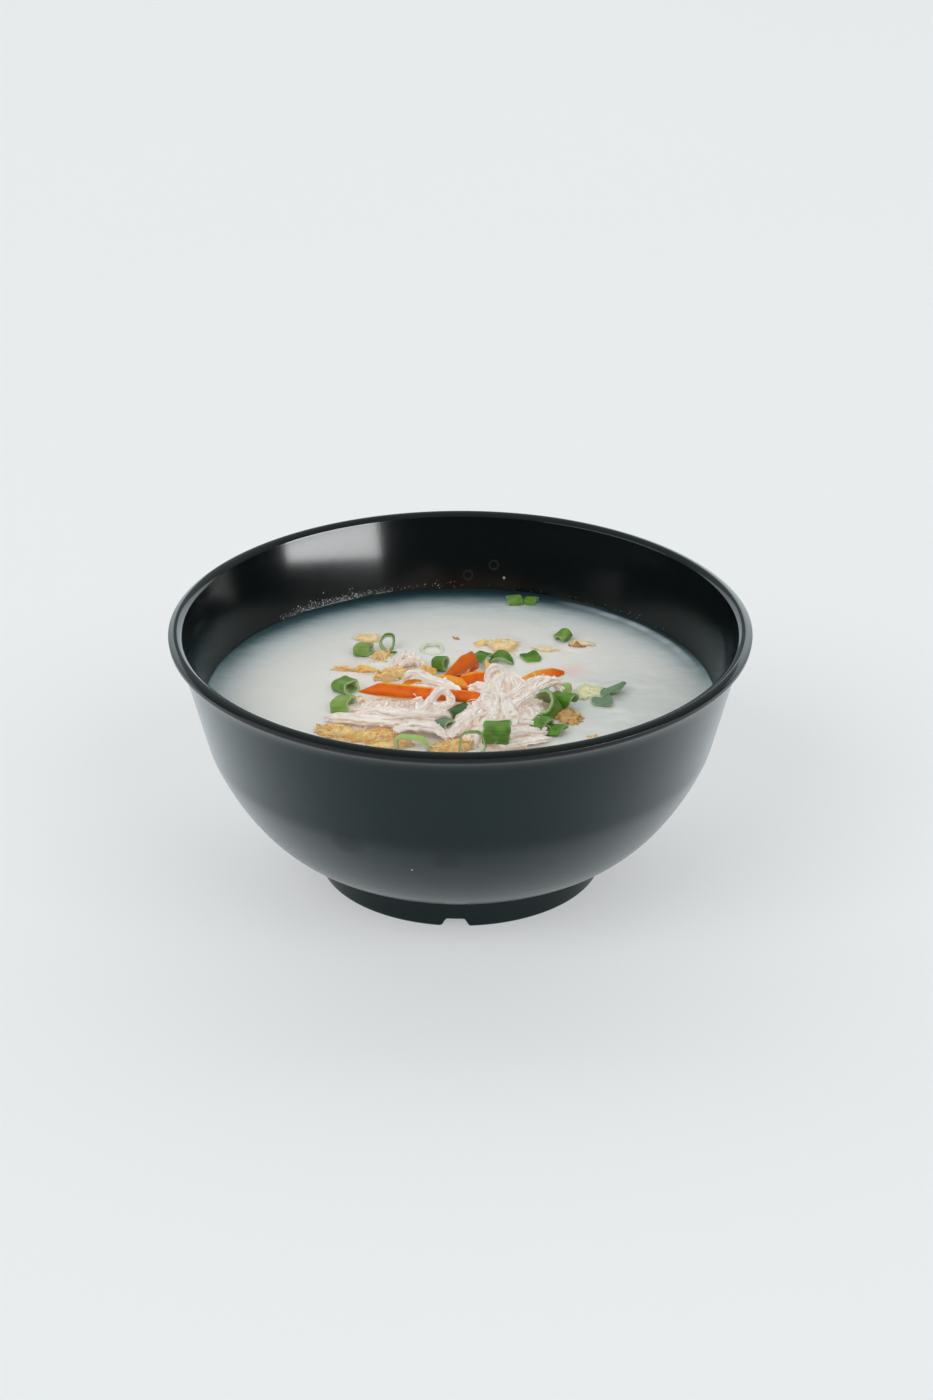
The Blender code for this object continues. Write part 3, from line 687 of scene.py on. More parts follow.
# x, y and height above the congee of each shred that stands out, its width, thickness and how much browner it
# is coloured
shredShape = {
    "chicken_right_shreds": [
        ([(9.4, -11, 8.6), (9.2, -8.6, 11.4), (10.6, -7.4, 13.2), (13, -7.4, 13.6), (14.8, -8.8, 12.4),
          (14.6, -11, 10.8), (12.6, -13, 9.8)], 2.3, 1.9, 0.0),
        ([(13.4, -10, 10.8), (16.4, -9.6, 11.8), (18.8, -11, 10.6), (20, -14, 9)], 2.9, 2.2, 0.0),
        ([(16, -10, 10.2), (19, -11, 11.2), (21, -12, 10.2), (21, -14, 9), (19, -17, 8.6)], 2.0, 1.7, 0.0),
        ([(10, -17, 8), (8, -13, 8.8), (6, -10, 8.8), (3.4, -9, 8.2)], 2.5, 2.0, 0.0),
        ([(13, -22, 8.6), (18, -17, 9.8), (22, -11, 9.8), (26, -5, 8.8), (30, -3, 7.4)], 2.5, 2.1, 0.0),
        ([(17, -24, 7.8), (21, -20, 9.0), (25, -13, 9.2), (29, -6, 8.2), (33, -3, 6.6)], 2.7, 2.1, 0.0),
        ([(27, -7, 6.4), (30, -4, 6.6), (33, -6, 4.6)], 2.0, 1.6, 0.0),
        ([(20, -22, 6.8), (23, -18, 6.8), (26, -16, 6.0)], 1.6, 1.4, 0.0),
        ([(10, -12, 9.4), (8, -19, 8.0), (7, -26, 5.8)], 3.6, 2.0, 0.0),
        ([(12, -14, 10.2), (11, -22, 8.8), (10, -30, 6.2)], 3.4, 2.0, 0.0),
        ([(8, -19, 7.8), (4, -25, 6.2), (0, -31, 4.4), (-3, -34, 2.8)], 4.6, 2.0, 0.0),
        ([(6, -21, 6.6), (2, -24, 5.4), (-2, -26, 3.6)], 2.8, 1.7, 0.0),
        ([(14, -19, 10.0), (15, -25, 8.2), (17, -31, 5.6)], 3.6, 1.9, 0.0),
        ([(16, -29, 5.8), (21, -28, 5.0), (25, -26, 3.8)], 3.8, 1.7, 0.0),
        ([(14, -37, 4.4), (20, -33, 3.8), (27, -29, 2.6)], 4.4, 1.7, 0.0),
        ([(13, -42, 3.2), (20, -38, 2.7), (27, -33, 1.8)], 4.2, 1.6, 0.0),
        ([(13, -11, 9.6), (15, -15, 9.8), (15, -20, 9.0)], 3.2, 2.0, 0.0),
    ],
    "chicken_left_shreds": [
        ([(-43, -18, 1.2), (-37, -21, 2.6), (-30, -24, 3.8), (-23, -27, 4.6), (-17, -27, 5)], 4.6, 2.1, 0.0),
        ([(-34, -20, 3), (-28, -21, 5), (-23, -24, 5.8), (-18, -26, 5.8), (-12, -27, 5.8), (-7, -27, 5)],
         3.8, 2.3, 0.0),
        ([(-21, -31, 3.8), (-16, -31, 5.2), (-11, -32, 5.2), (-7, -33, 4.4), (-3, -35, 2.8)], 5.2, 2.1, 0.0),
        ([(-20, -27, 6.0), (-14, -28, 7.0), (-8, -28, 6.8), (-4, -26, 6.2)], 2.8, 2.0, 0.0),
        ([(-31, -19, 3.2), (-30, -16, 4.4), (-28, -15, 4.6), (-26, -16, 4.4), (-27, -18, 4), (-24, -21, 3.8)],
         1.6, 1.4, 0.0),
        ([(-26, -20, 3.4), (-23, -17, 4.2), (-21, -13, 3.8)], 2.8, 1.6, 0.3),
        ([(-20, -22, 3.8), (-18, -19, 4.6), (-16, -15, 4.0)], 3.0, 1.7, 0.45),
        ([(-23, -22, 3.8), (-20.5, -19, 4.6), (-19, -15, 4.0)], 1.8, 1.4, 0.1),
        ([(-12, -26, 6.4), (-10, -24, 8.8), (-8, -21, 10.6), (-6, -19, 11.2), (-4, -20, 10.6), (-3, -23, 9.2),
          (-5, -25, 8.6), (-8, -24, 8.4)], 2.2, 1.9, 0.0),
        ([(-8, -23, 8.4), (-7, -26, 7.2), (-4, -27, 6.6)], 2.4, 1.7, 0.0),
        ([(-15, -19, 7.4), (-13, -20, 8.2), (-13, -23, 7.4), (-12, -27, 6.6)], 2.0, 1.6, 0.0),
        ([(-19, 0, 5.8), (-17, -1, 8.6), (-14, -2, 9.8), (-12, -4, 9.6), (-9, -7, 9.4), (-5, -10, 9.2),
          (-2, -14, 8.4)], 4.2, 1.5, 0.0),
        ([(-16, -7, 6.8), (-10, -9, 7.6), (-4, -12, 7.4)], 3.4, 1.6, 0.0),
        ([(-22, 22, 1.6), (-18, 23, 3.6), (-14, 22, 3.0)], 2.2, 1.7, 0.0),
        ([(-20, 18, 2.4), (-17, 19.4, 3.6), (-13, 19, 2.8)], 2.2, 1.5, 0.05),
        ([(-18, 26, 2.4), (-16, 22, 3.8), (-13, 17, 3.0)], 1.8, 1.5, 0.0),
        ([(-22, 19, 2.0), (-20, 21.5, 4.2), (-19, 25, 4.4)], 1.3, 1.1, 0.0),
    ],
}
# an oval is a middle, heading, half length and half width; shreds fan out from the peak or lie combed
heapShape = {
    "chicken_right": {
        "oval": ((13.6, -19.0), 78, 23.5, 16.2), "height": 12.4, "peak": (0.42, 0.1), "lie": "fan",
        "count": 150, "lengths": 1.0, "piece": "chicken_right_shreds",
    },
    "chicken_left": {
        "oval": ((-20.0, -15.0), -6, 20.5, 13.6), "height": 4.9, "peak": (0.15, -0.4), "lie": "combed",
        "count": 120, "lengths": 1.0, "piece": "chicken_left_shreds",
    },
    "chicken_back": {
        "oval": ((-17.6, 23.6), 14, 5.0, 3.4), "height": 3.0, "peak": (-0.2, 0.0), "lie": "combed",
        "count": 18, "lengths": 0.45, "piece": "chicken_left_shreds",
    },
}


def heapHeight(heap, x, y):
    # a low dome over the heap's oval, drawn up towards its peak
    (cx, cy), heading, halfLong, halfWide = heap["oval"]
    turn = math.radians(heading)
    u = ((x - cx) * math.cos(turn) + (y - cy) * math.sin(turn)) / halfLong
    v = (-(x - cx) * math.sin(turn) + (y - cy) * math.cos(turn)) / halfWide
    share = np.clip(np.hypot(u, v), 0, 1)
    away = np.hypot(u - heap["peak"][0], v - heap["peak"][1])
    return heap["height"] * (1 - share**2) ** 0.55 * (0.35 + 0.65 * np.exp(-2.2 * away**2))


def addHeapCore(batch, heap, seed):
    # the mass under the shreds: the dome, ribbed the way they lie, with a skirt down into the congee
    a = fullTurn(chickenShape["coreColumns"])
    share = np.linspace(1, 0.03, chickenShape["coreRows"])[:, None]
    edge = 1 + 0.09 * np.sin(3 * a + seed) + 0.06 * np.sin(5 * a + 2 * seed)
    u, v = share * edge * np.cos(a), share * edge * np.sin(a)
    x, y = onOval(*heap["oval"], u, v)
    spot = np.stack([x, y, 0 * x], axis=-1)
    px, py = onOval(*heap["oval"], *heap["peak"])
    if heap["lie"] == "fan":
        lane, run = np.arctan2(y - py, x - px) * 9, np.hypot(x - px, y - py)
    else:
        halfLong, halfWide = heap["oval"][2:]
        lane, run = v * halfWide * 1.3 + 0.6 * np.sin(u * 4), u * halfLong
    wobble = randomField(spot, 4.0, seed)
    ridge = 0.4 * np.sin(lane * 2.1 + 2 * wobble) + 0.25 * np.sin(lane * 4.7 + 3 * wobble + seed)
    rise = heapHeight(heap, x, y)
    z = level + rise * 1.02 - 0.2 + ridge * np.clip(rise / 3, 0.2, 1) + 0.5 * wobble
    skirt = np.stack([x, y, level - chickenShape["coreSkirt"] + 0 * x], axis=-1)[:1]
    rows = np.concatenate([skirt, np.stack([x, y, z], axis=-1)])
    paths = {"fibreX": lane, "fibreY": z * 0.3, "fibreZ": run}
    fibre = {key: np.concatenate([value[:1], value]) for key, value in paths.items()}
    addFibreTube(batch, rows, fibre, 0.08, 0.6)


def addHeapShreds(batch, heap, seed):
    # loose shreds that follow a heap's surface, down from its peak or side by side along it
    s = chickenShape
    rng = np.random.default_rng(seed)
    peakX, peakY = onOval(*heap["oval"], *heap["peak"])
    for _ in range(heap["count"]):
        u, v, share = strewn(rng, 0.02, 0.9)
        x, y = onOval(*heap["oval"], u, v)
        if heap["lie"] == "fan":
            course = math.atan2(y - peakY, x - peakX) + rng.normal(0, 0.25)
        else:
            course = math.radians(heap["oval"][1]) + rng.normal(0, 0.22) + math.pi * rng.integers(0, 2)
        length = rng.uniform(*s["looseLength"]) * heap["lengths"] * (1 - 0.35 * share)
        bend = rng.normal(0, 0.3)
        t = np.linspace(-0.5, 0.5, 5)
        px = x + t * length * math.cos(course) - bend * t**2 * length * math.sin(course)
        py = y + t * length * math.sin(course) + bend * t**2 * length * math.cos(course)
        base = heapHeight(heap, px, py)
        route = np.stack([px, py, level + base + rng.uniform(-0.2, 0.6) - 0.9 * (np.abs(t) * 2) ** 4], axis=1)
        route += rng.normal(0, 0.2, route.shape)
        width = rng.uniform(*s["looseWidth"])
        blush = 0.4 * rng.random() ** 6
        addShred(batch, route, width, width * rng.uniform(0.6, 0.85), rng.uniform(0, 6), blush, *s["loose"])
    for _ in range(round(heap["count"] * s["knobsPerShred"])):
        u, v, _ = strewn(rng, 0.0, 0.85)
        x, y = onOval(*heap["oval"], u, v)
        addKnob(batch, (x, y, level + heapHeight(heap, x, y) + rng.uniform(0.1, 1.0)), rng)


def addKnob(batch, spot, rng):
    # a torn end that stands out: a very short, thick shred
    course, reach, width = rng.uniform(0, math.tau), rng.uniform(0.8, 1.8), rng.uniform(0.8, 1.7)
    way = np.array([math.cos(course), math.sin(course), rng.normal(0, 0.3)])
    route = spot + np.linspace(-1, 1, 3)[:, None] * reach * way
    thickness = width * rng.uniform(0.6, 0.9)
    addShred(batch, route, width, thickness, rng.uniform(0, 6), 0.0, *chickenShape["knob"])


def addWisps(batch, shreds, seed, count):
    # torn fibres as fine as thread lying loosely on the larger shreds, each with a knob beside it
    rng = np.random.default_rng(seed)
    for _ in range(count):
        route = np.array(shreds[rng.integers(len(shreds))][0], float)
        start = smoothRoute(route, 12)[rng.integers(1, 11)] + rng.normal(0, 0.6, 3)
        course, reach = rng.uniform(0, math.tau), rng.uniform(2.0, 5.0)
        t = np.linspace(0, 1, 6)[:, None]
        way = np.array([math.cos(course), math.sin(course), -0.15])
        curl = np.array([-math.sin(course), math.cos(course), 0.0]) * rng.normal(0, 0.5)
        line = start + (0, 0, level + 0.8) + way * reach * t + curl * reach * t**2
        line = line + (0, 0, 0.7) * np.sin(math.pi * t)
        wisp = fibreTube(line, *carriedFrames(line)[1:], 0.38, 0.3, rng.uniform(0, 6), 5)
        addFibreTube(batch, *wisp, 0.0)
        addKnob(batch, start + (0, 0, level + 0.5), rng)


def makeChicken(finish):
    s = chickenShape
    for k, (name, shreds) in enumerate(shredShape.items()):
        batch = Batch()
        nodes = [node for node, heap in heapShape.items() if heap["piece"] == name]
        for seed, node in enumerate(nodes):
            addHeapCore(batch, heapShape[node], seed + 2)
            addHeapShreds(batch, heapShape[node], seed + 20 + k)
        for n, (route, width, thickness, blush) in enumerate(shreds):
            points = np.array(route, float) + (0, 0, level)
            sizes = width * s["stout"], thickness * s["stout"]
            addShred(batch, points, *sizes, n * 1.3 + k, blush, *s["main"])
        addWisps(batch, shreds, 15 + k, s["wisps"])
        batch.piece(name, finish, "shredded_chicken", *nodes)


def chickenFinish():
    # cooked breast meat: off-white with a pink tinge, with painted shade that browns its hollows and a faint
    # painted glow, and with fine fibres along it
    # the faint warm emission is painted light that lifts the meat's shadows
    f = Finish("cooked_chicken", IOR=1.38, Emission_Color=(1.0, 0.79, 0.65, 1), Emission_Strength=0.085,
               Subsurface_Weight=0.5, Subsurface_Scale=0.0026, Subsurface_Radius=(1.0, 0.66, 0.5))
    blush, lift = f.named("blush"), f.named("lift")
    patch = f.noise(0.0045, 2.0)
    lane, height, run = (f.named(n) for n in ("fibreX", "fibreY", "fibreZ"))
    spot = f.node("ShaderNodeCombineXYZ", None, {0: lane, 1: height, 2: run * 0.13})
    fibre = f.noise(1 / 2.3, 2.0, spot)
    pale = f.mix(patch.between(0.35, 0.65), (0.92, 0.82, 0.745), (0.97, 0.915, 0.865))
    pale = f.mix((1 - fibre.between(0.3, 0.6)) * 0.22, pale, (0.80, 0.58, 0.45))
    # painted shade: low-lying spots and those under other shreds are mixed towards a pinkish brown
    hollow = (1 - lift.between(-1.0, 3.0)) * 0.42
    colour = f.mix(hollow, pale, (0.80, 0.60, 0.46))
    colour = f.mix(blush, colour, (0.55, 0.32, 0.20))
    bump = f.bump(fibre * 0.5 + f.noise(0.0008, 2.0) * 0.6, 0.00036)
    return f.finished(Base_Color=colour, Roughness=0.32 + fibre * 0.25, Normal=bump)


# ---- chilli

# node: heading, tilt, roll, how much it is raised, how much each end is flesh, a value below zero darkening it
# with painted shade instead, length, width, thickness, bow, slant of each end, share of the width left at each
# end and how fast each end widens
chilliShape = {
    "chilli_1": (-13, 1.0, 50, 0.8, (0.0, 0.0), 42.0, 4.5, 1.9, -0.4, (8.5, 0.5), (0.8, 0.7), (1.2, 0.7)),
    "chilli_2": (48, 8, 42, 0.0, (-0.35, -0.35), 20.0, 6.6, 2.6, 0.4, (1.0, -2.0), (0.06, 0.85), (1.25, 3.4)),
    "chilli_3": (12, 2, 48, -2.0, (-0.1, -0.1), 12.8, 6.2, 2.0, 0.5, (2.0, 1.5), (0.8, 0.5), (3.4, 3.4)),
    "chilli_4": (-26, 3, 40, -0.6, (1.0, 0.8), 14.0, 2.8, 1.7, 1.4, (0.6, 0.6), (0.6, 0.4), (3.4, 3.4)),
    "chilli_5": (32, -6, 44, 0.0, (1.1, 0.0), 19.0, 3.9, 1.9, 0.6, (2.0, -1.0), (0.15, 0.3), (2.0, 2.6)),
    "chilli_6": (8, 0, 44, 0.0, (1.0, 1.0), 7.6, 2.8, 1.5, 0.2, (1.0, 0.4), (0.2, 0.7), (3.4, 3.4)),
}


def squared(wave, power):
    # a sine or cosine pushed towards a square wave, which turns a round section into a rounded box
    return np.sign(wave) * np.abs(wave) ** power


def chilliStrip(length, width, thickness, bow, slants, shares, openings, seed):
    # a cut strip: a rounded box section whose skin bulges over nearly flat flesh, its ends cut at a slant
    stations, sides = 48, 36
    s, a = np.linspace(0, 1, stations)[:, None], fullTurn(sides)
    closing = np.sqrt(np.clip(np.minimum(s, 1 - s) * 40 + 0.04, 0, 1))
    body = np.clip(shares[0] + s * openings[0], 0, 1) * np.clip(shares[1] + (1 - s) * openings[1], 0, 1)
    body = body * (1 + 0.04 * np.sin(9 * s + seed) + 0.02 * np.sin(23 * s + 2 * seed))
    c, d = squared(np.cos(a), 0.45), squared(np.sin(a), 0.45)
    y = c * width / 2 * body * (0.85 + 0.15 * closing)
    z = d * thickness / 2 * closing * (0.6 + 0.4 * body)
    z = z + 0.1 * width * body * (1 - (y / (width / 2)) ** 2) + 0.08 * np.sin(17 * s + 3 * a + seed)
    high = y / width + 0.5
    left, right = -length / 2 + slants[0] * high, length / 2 - slants[1] * high
    skin = np.clip((np.sin(a) - 0.42) * 9, 0, 1) + 0 * s
    rows = np.stack([left + (right - left) * s, y + bow * (1 - (2 * s - 1) ** 2), z], axis=-1)
    return rows, skin, high, s + 0 * a


def makeChilli(finish):
    batch = Batch()
    for k, (node, (heading, tilt, roll, raised, fleshAndShade, *cut)) in enumerate(chilliShape.items()):
        rows, skin, high, s = chilliStrip(*cut, k * 1.7)
        rows = centred(turned(rows, heading, tilt, roll), middle(node)) + (0, 0, raised)
        batch.addTube(rows, skin=skin, high=high, flesh=fleshAndShade[0] + (fleshAndShade[1] - fleshAndShade[0]) * s**2)
    batch.piece("chilli_strips", finish, "chilli", *chilliShape)


def chilliFinish():
    # glossy orange-red skin over yellow-orange flesh, with painted shade that darkens the skin along its lower
    # side
    f = Finish("cut_chilli", IOR=1.36, Subsurface_Weight=0.04, Subsurface_Scale=0.001,
               Subsurface_Radius=(1.0, 0.3, 0.05))
    skin, flesh, high = (f.named(n) for n in ("skin", "flesh", "high"))
    patch = f.noise(0.003, 3.0)
    red = f.mix(patch.between(0.35, 0.65), (0.76, 0.115, 0.001), (0.86, 0.165, 0.0015))
    # painted shade: the skin darkens towards the strip's lower side
    red = f.mix((1 - high.between(0.0, 0.4)) * 0.4, red, (0.56, 0.06, 0.001))
    # painted shade: pieces whose flesh value is below zero take this darker red, darkest along the lower side
    shaded = f.mix(high.between(0.15, 0.6), (0.34, 0.045, 0.004), (0.62, 0.125, 0.002))
    red = f.mix((0 - flesh).between(0.0, 0.5) * 0.8, red, shaded)
    pulp = f.mix(patch, (0.84, 0.30, 0.012), (0.93, 0.50, 0.06))
    red = f.mix(high.between(0.8, 0.92) * (1 + flesh).between(0.7, 1.0), red, pulp)
    red = f.mix(flesh.between(0.3, 1.1) * 0.9, red, pulp)
    colour = f.mix(skin, pulp, red)
    fine = f.noise(0.0006)
    roughness = 0.4 - skin * 0.12 + fine * 0.08
    return f.finished(Base_Color=colour, Roughness=roughness, Normal=f.bump(fine, 0.00006))


# ---- spring onion

# node: heading, tilt, radius, length, span in degrees, squash, boxiness, paleness, wall
onionShape = {
    "spring_onion_01": (-14, 2, 2.9, 5.4, 360, 0.62, 0.62, 0.45, 1.35),
    "spring_onion_02": (78, 0, 2.5, 1.6, 360, 1.4, 1.0, -0.05, 0.8),
    "spring_onion_03": (-50, 10, 3.6, 7.0, 360, 0.66, 0.6, 0.35, 1.3),
    "spring_onion_04": (-20, 5, 3.9, 6.0, 360, 0.78, 0.6, 0.55, 1.4),
    "spring_onion_05": (-34, 12, 2.5, 4.8, 360, 0.95, 0.75, 0.1, 1.0),
    "spring_onion_06": (-42, 8, 3.4, 6.4, 170, 0.6, 0.8, 0.05, 0.9),
    "spring_onion_07": (84, 0, 4.0, 5.2, 180, 0.8, 0.9, 0.1, 1.2),
    "spring_onion_08": (12, 0, 10.0, 6.4, 38, 1.0, 1.0, 0.1, 0.9),
    "spring_onion_09": (48, 16, 2.3, 4.9, 360, 0.95, 0.9, 0.3, 1.1),
    "spring_onion_10": (-8, 0, 18.0, 7.6, 20, 1.0, 1.0, -0.25, 0.9),
    "spring_onion_11": (-6, 0, 16.0, 7.2, 20, 1.0, 1.0, -0.3, 0.9),
    "spring_onion_12": (80, 20, 2.5, 4.6, 360, 0.8, 0.55, 0.9, 1.3),
    "spring_onion_13": (-118, 46, 4.7, 8.4, 360, 0.92, 0.8, 0.22, 1.5),
    "spring_onion_14": (-40, 8, 3.6, 8.4, 200, 0.95, 0.9, 0.0, 0.9),
    "spring_onion_15": (-40, 4, 3.7, 6.2, 180, 0.8, 0.7, 0.05, 0.9),
    "spring_onion_16": (-22, 6, 3.6, 6.8, 150, 0.9, 0.85, 0.05, 1.0),
    "spring_onion_17": (-8, 4, 3.8, 8.8, 360, 0.9, 0.62, 0.2, 1.5),
    "spring_onion_18": (78, 0, 4.4, 1.4, 360, 1.15, 0.85, 0.4, 0.65),
    "spring_onion_19": (80, 0, 5.6, 3.2, 200, 0.5, 0.4, 0.85, 1.0),
    "spring_onion_20": (-52, 10, 2.8, 6.0, 360, 0.9, 0.7, -0.3, 1.1),
    "spring_onion_21": (6, 3, 2.5, 5.2, 360, 0.7, 0.7, 0.3, 1.2),
    "spring_onion_22": (-10, 0, 2.4, 4.6, 360, 0.7, 0.7, 0.2, 1.2),
    "spring_onion_23": (20, 8, 2.7, 7.0, 240, 0.9, 0.7, -0.2, 0.9),
}

# slices with no solid of their own: x, y, height above the congee, the same nine values, how far sunk
looseOnion = [
    (-9.7, 34.2, 0.5, 10, 90, 4.3, 1.3, 360, 0.92, 1.0, 1.2, 1.2, 0.7),
    (-23.4, 32.6, 0.5, -24, 4, 1.8, 3.6, 150, 0.5, 0.9, -0.2, 0.7, 0.0),
    (-30.0, 17.6, 0.5, -20, 0, 1.2, 2.4, 200, 0.6, 0.8, -0.2, 0.6, 0.2),
    (-33.5, -3.6, 0.4, 30, 0, 1.4, 2.6, 160, 0.5, 0.8, 0.5, 0.6, 0.3),
]
# an open slice that spans less than this, in degrees, is a flat bit of leaf
flatLeafSpan = 60


def leafSlice(radius, length, span, squash, boxiness, wall, seed):
    # a slice of hollow leaf along X: the wall's rounded section carried round the leaf, which is pressed
    # towards a box and dented by its ribs; both cuts run a little askew
    aroundLeaf, sides = 84, 24
    closed = span >= 360
    columns = aroundLeaf if closed else max(30, round(aroundLeaf * span / 360))
    reach = math.radians(span) / 2
    a = np.linspace(-reach, reach, columns, endpoint=not closed)[:, None]
    w = fullTurn(sides)
    section = squared(np.cos(w), 0.3) * length / 2
    depth = squared(np.sin(w), 0.8) * wall / 2
    ribs = 1 + 0.035 * np.cos(3 * a + seed) + 0.03 * np.cos(5 * a + 2 * seed) + 0.012 * np.cos(15 * a + seed)
    slant = 0.14 * radius * np.sin(a + seed) + 0.06 * radius * np.sin(3 * a + 2 * seed)
    dent = 1 + 0.07 * np.sin(section * 0.55 + seed) * np.cos(2 * a + seed)
    r = radius * ribs * dent - wall / 2 + depth
    if not closed:
        section = section * (1 - 0.35 * (a / reach) ** 4)
    x = section + slant + 0 * a
    y, z = squared(np.sin(a), boxiness) * r, squared(np.cos(a), boxiness) * r * squash
    values = {
        "inner": np.clip(0.5 - np.sin(w) * 0.9, 0, 1) + 0 * a,
        "cut": np.clip(np.abs(np.cos(w)) * 5 - 4, 0, 1) + 0 * a,
        "around": (a * radius * 0.35 + seed) + 0 * w,
    }
    return np.stack([x, y, z], axis=-1), values, closed


def addOnion(batch, heading, tilt, leaf, pale, wall, seed, place, top, soak):
    # the slice centred on its place, and laid on the congee if it is nearly flat, or else raised until its
    # highest point reaches the top given
    rows, values, closed = leafSlice(*leaf, wall, seed)
    rows = centred(turned(rows, heading, tilt), place)
    span = leaf[2]
    if span < flatLeafSpan:
        rows[..., 2] += congeeHeight(rows[..., 0], rows[..., 1]) - rows[..., 2].min() - 0.4
    elif top is not None:
        rows[..., 2] += max(0, top - rows[..., 2].max())
    if closed:
        ring = (rows.reshape(-1, 3), ringFaces(*rows.shape[:2]).tolist())
        batch.add(ring, pale=pale, soak=soak, **{key: value.ravel() for key, value in values.items()})
    else:
        batch.addTube(rows, pale=pale, soak=soak, **values)


def makeOnions(finish):
    batch = Batch()
    for k, (node, (heading, tilt, *leaf, pale, wall)) in enumerate(onionShape.items()):
        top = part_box(node)[1].z / mm + nudged.get(node, (0, 0, 0))[2]
        soak = 0.12 if pale < -0.2 else 0.0
        addOnion(batch, heading, tilt, leaf, pale, wall, k * 2.1, middle(node), top, soak)
    for k, (x, y, rise, heading, tilt, *leaf, pale, wall, soak) in enumerate(looseOnion):
        addOnion(batch, heading, tilt, leaf, pale, wall, k * 1.3, (x, y, level + rise), None, soak)
    batch.piece("spring_onion_slices", finish, "spring_onion", *onionShape)


def onionFinish():
    # fresh green leaf with fine veins along it, paler inside and at the cut
    f = Finish("spring_onion_leaf", IOR=1.42, Subsurface_Weight=0.12, Subsurface_Scale=0.001,
               Subsurface_Radius=(0.4, 1.0, 0.2))
    inner, cut, around, pale, soak = (f.named(n) for n in ("inner", "cut", "around", "pale", "soak"))
    spot = f.node("ShaderNodeCombineXYZ", None, {0: around, 1: pale, 2: 0.0})
    vein = f.noise(1 / 9.0, 2.0, spot)
    patch = f.noise(0.003, 3.0)
    deep = f.mix(patch.between(0.3, 0.7), (0.052, 0.15, 0.010), (0.115, 0.29, 0.024))
    light = f.mix(patch, (0.30, 0.47, 0.09), (0.50, 0.64, 0.22))
    dull = f.mix(patch, (0.045, 0.13, 0.065), (0.085, 0.21, 0.11))
    leaf = f.mix(pale.between(0.0, 1.1), deep, light)
    leaf = f.mix((0 - pale).between(0.0, 0.3), leaf, dull)
    leaf = f.mix(vein.between(0.45, 0.75) * 0.35, leaf, f.mix(pale, (0.20, 0.40, 0.08), (0.56, 0.68, 0.32)))
    hollow = f.mix(pale, (0.42, 0.55, 0.26), (0.62, 0.70, 0.46))
    colour = f.mix(inner * 0.85, leaf, hollow)
    colour = f.mix(cut * 0.6, colour, (0.44, 0.58, 0.30))
    colour = f.mix(soak, colour, (0.74, 0.78, 0.68))
    return f.finished(Base_Color=colour, Roughness=0.24 + patch * 0.2, Normal=f.bump(vein, 0.00008))


# ---- fried shallots

# node: heading, roll, length, height, thickness, bend, how pale and soaked it is
curlShape = {
    "shallot_01": (-8, 26, 14.8, 2.4, 1.1, 16, 0.15),
    "shallot_02": (-50, 30, 8.0, 3.2, 0.6, 60, 0.25),
    "shallot_03": (-8, 75, 7.8, 3.0, 0.6, 20, 0.9),
    "shallot_04": (-62, 20, 9.0, 4.0, 0.6, 70, 0.3),
    "shallot_05": (-14, 40, 7.0, 3.2, 0.8, 80, -0.6),
    "shallot_06": (-70, 30, 5.6, 2.6, 0.7, 50, 0.0),
    "shallot_07": (20, 50, 3.6, 1.8, 0.7, 40, 0.3),
    "shallot_08": (-10, 45, 9.0, 4.6, 0.7, 60, 0.4),
}
# node: heading, half length, half width, height, slivers, paleness, its matted base's share of the height
flakeShape = {
    "shallot_heap_1": (-22, 7.4, 4.6, 2.4, 7, 0.2, 0.7),
    "shallot_heap_2": (10, 8.2, 4.2, 2.8, 7, 0.2, 0.7),
    "shallot_heap_3": (12, 7.6, 4.8, 3.2, 9, 0.3, 0.6),
    "shallot_heap_4": (-6, 6.6, 6.6, 1.4, 2, 0.55, 0.9),
    "shallot_heap_5": (20, 4.2, 5.0, 2.8, 9, -0.35, 0.6),
    "shallot_heap_6": (-10, 6.2, 6.4, 0.45, 1, 1.06, 0.6),
    "shallot_heap_7": (24, 6.4, 4.6, 3.3, 8, 0.3, 0.65),
}
# further soaked flakes, just under the surface: x, y, heading, half length, half width, paleness
soakedShape = [
    (-31.6, 43.5, -10, 5.6, 4.4, 0.7), (-27.0, -6.5, 20, 2.4, 2.2, 0.5),
    (28.5, 34.2, -2, 5.2, 2.6, 0.9), (41.0, 39.6, -10, 5.2, 3.4, 0.95), (7.0, 39.2, 60, 3.0, 2.2, 0.15),
    (-36.0, 18.2, -8, 7.6, 1.5, 0.5), (-22.0, -36.0, 4, 8.0, 3.4, 0.45), (-38.0, -30.5, -20, 7.0, 3.6, 0.5),
]
# heaps with no solid of their own: x, y and flakeShape's seven values
looseFlakes = [
    (-27.0, 29.4, 62, 5.0, 3.4, 0.9, 6, 0.6, 0.4),
    (-34.6, -4.6, 30, 3.6, 2.4, 0.9, 2, 0.1, 0.3),
]
# single crumbs: x, y, heading, length and paleness
crumbShape = [
    (-1.6, 43.6, -30, 3.0, -0.9), (-29.4, 17.0, 10, 1.6, -0.5),
    (43.6, -32.4, 0, 1.8, 0.0), (-31.6, -3.4, 20, 2.2, 0.1),
]
shallotShape = {
    # pieces strewn over a heap for each of its slivers, that sliver counted
    "perSliver": 14,
    # least and most of a sliver's length, of its height, thickness and bend, and of a crumb's three sizes
    "sliverLength": (3.4, 8.0), "sliver": ((0.8, 1.6), (0.4, 0.65), (15, 70)),
    "crumb": ((0.8, 2.8), (0.5, 1.0), (0.35, 0.6)),
    # a curl longer than this is two slivers that lie side by side
    "doubled": 10,
}


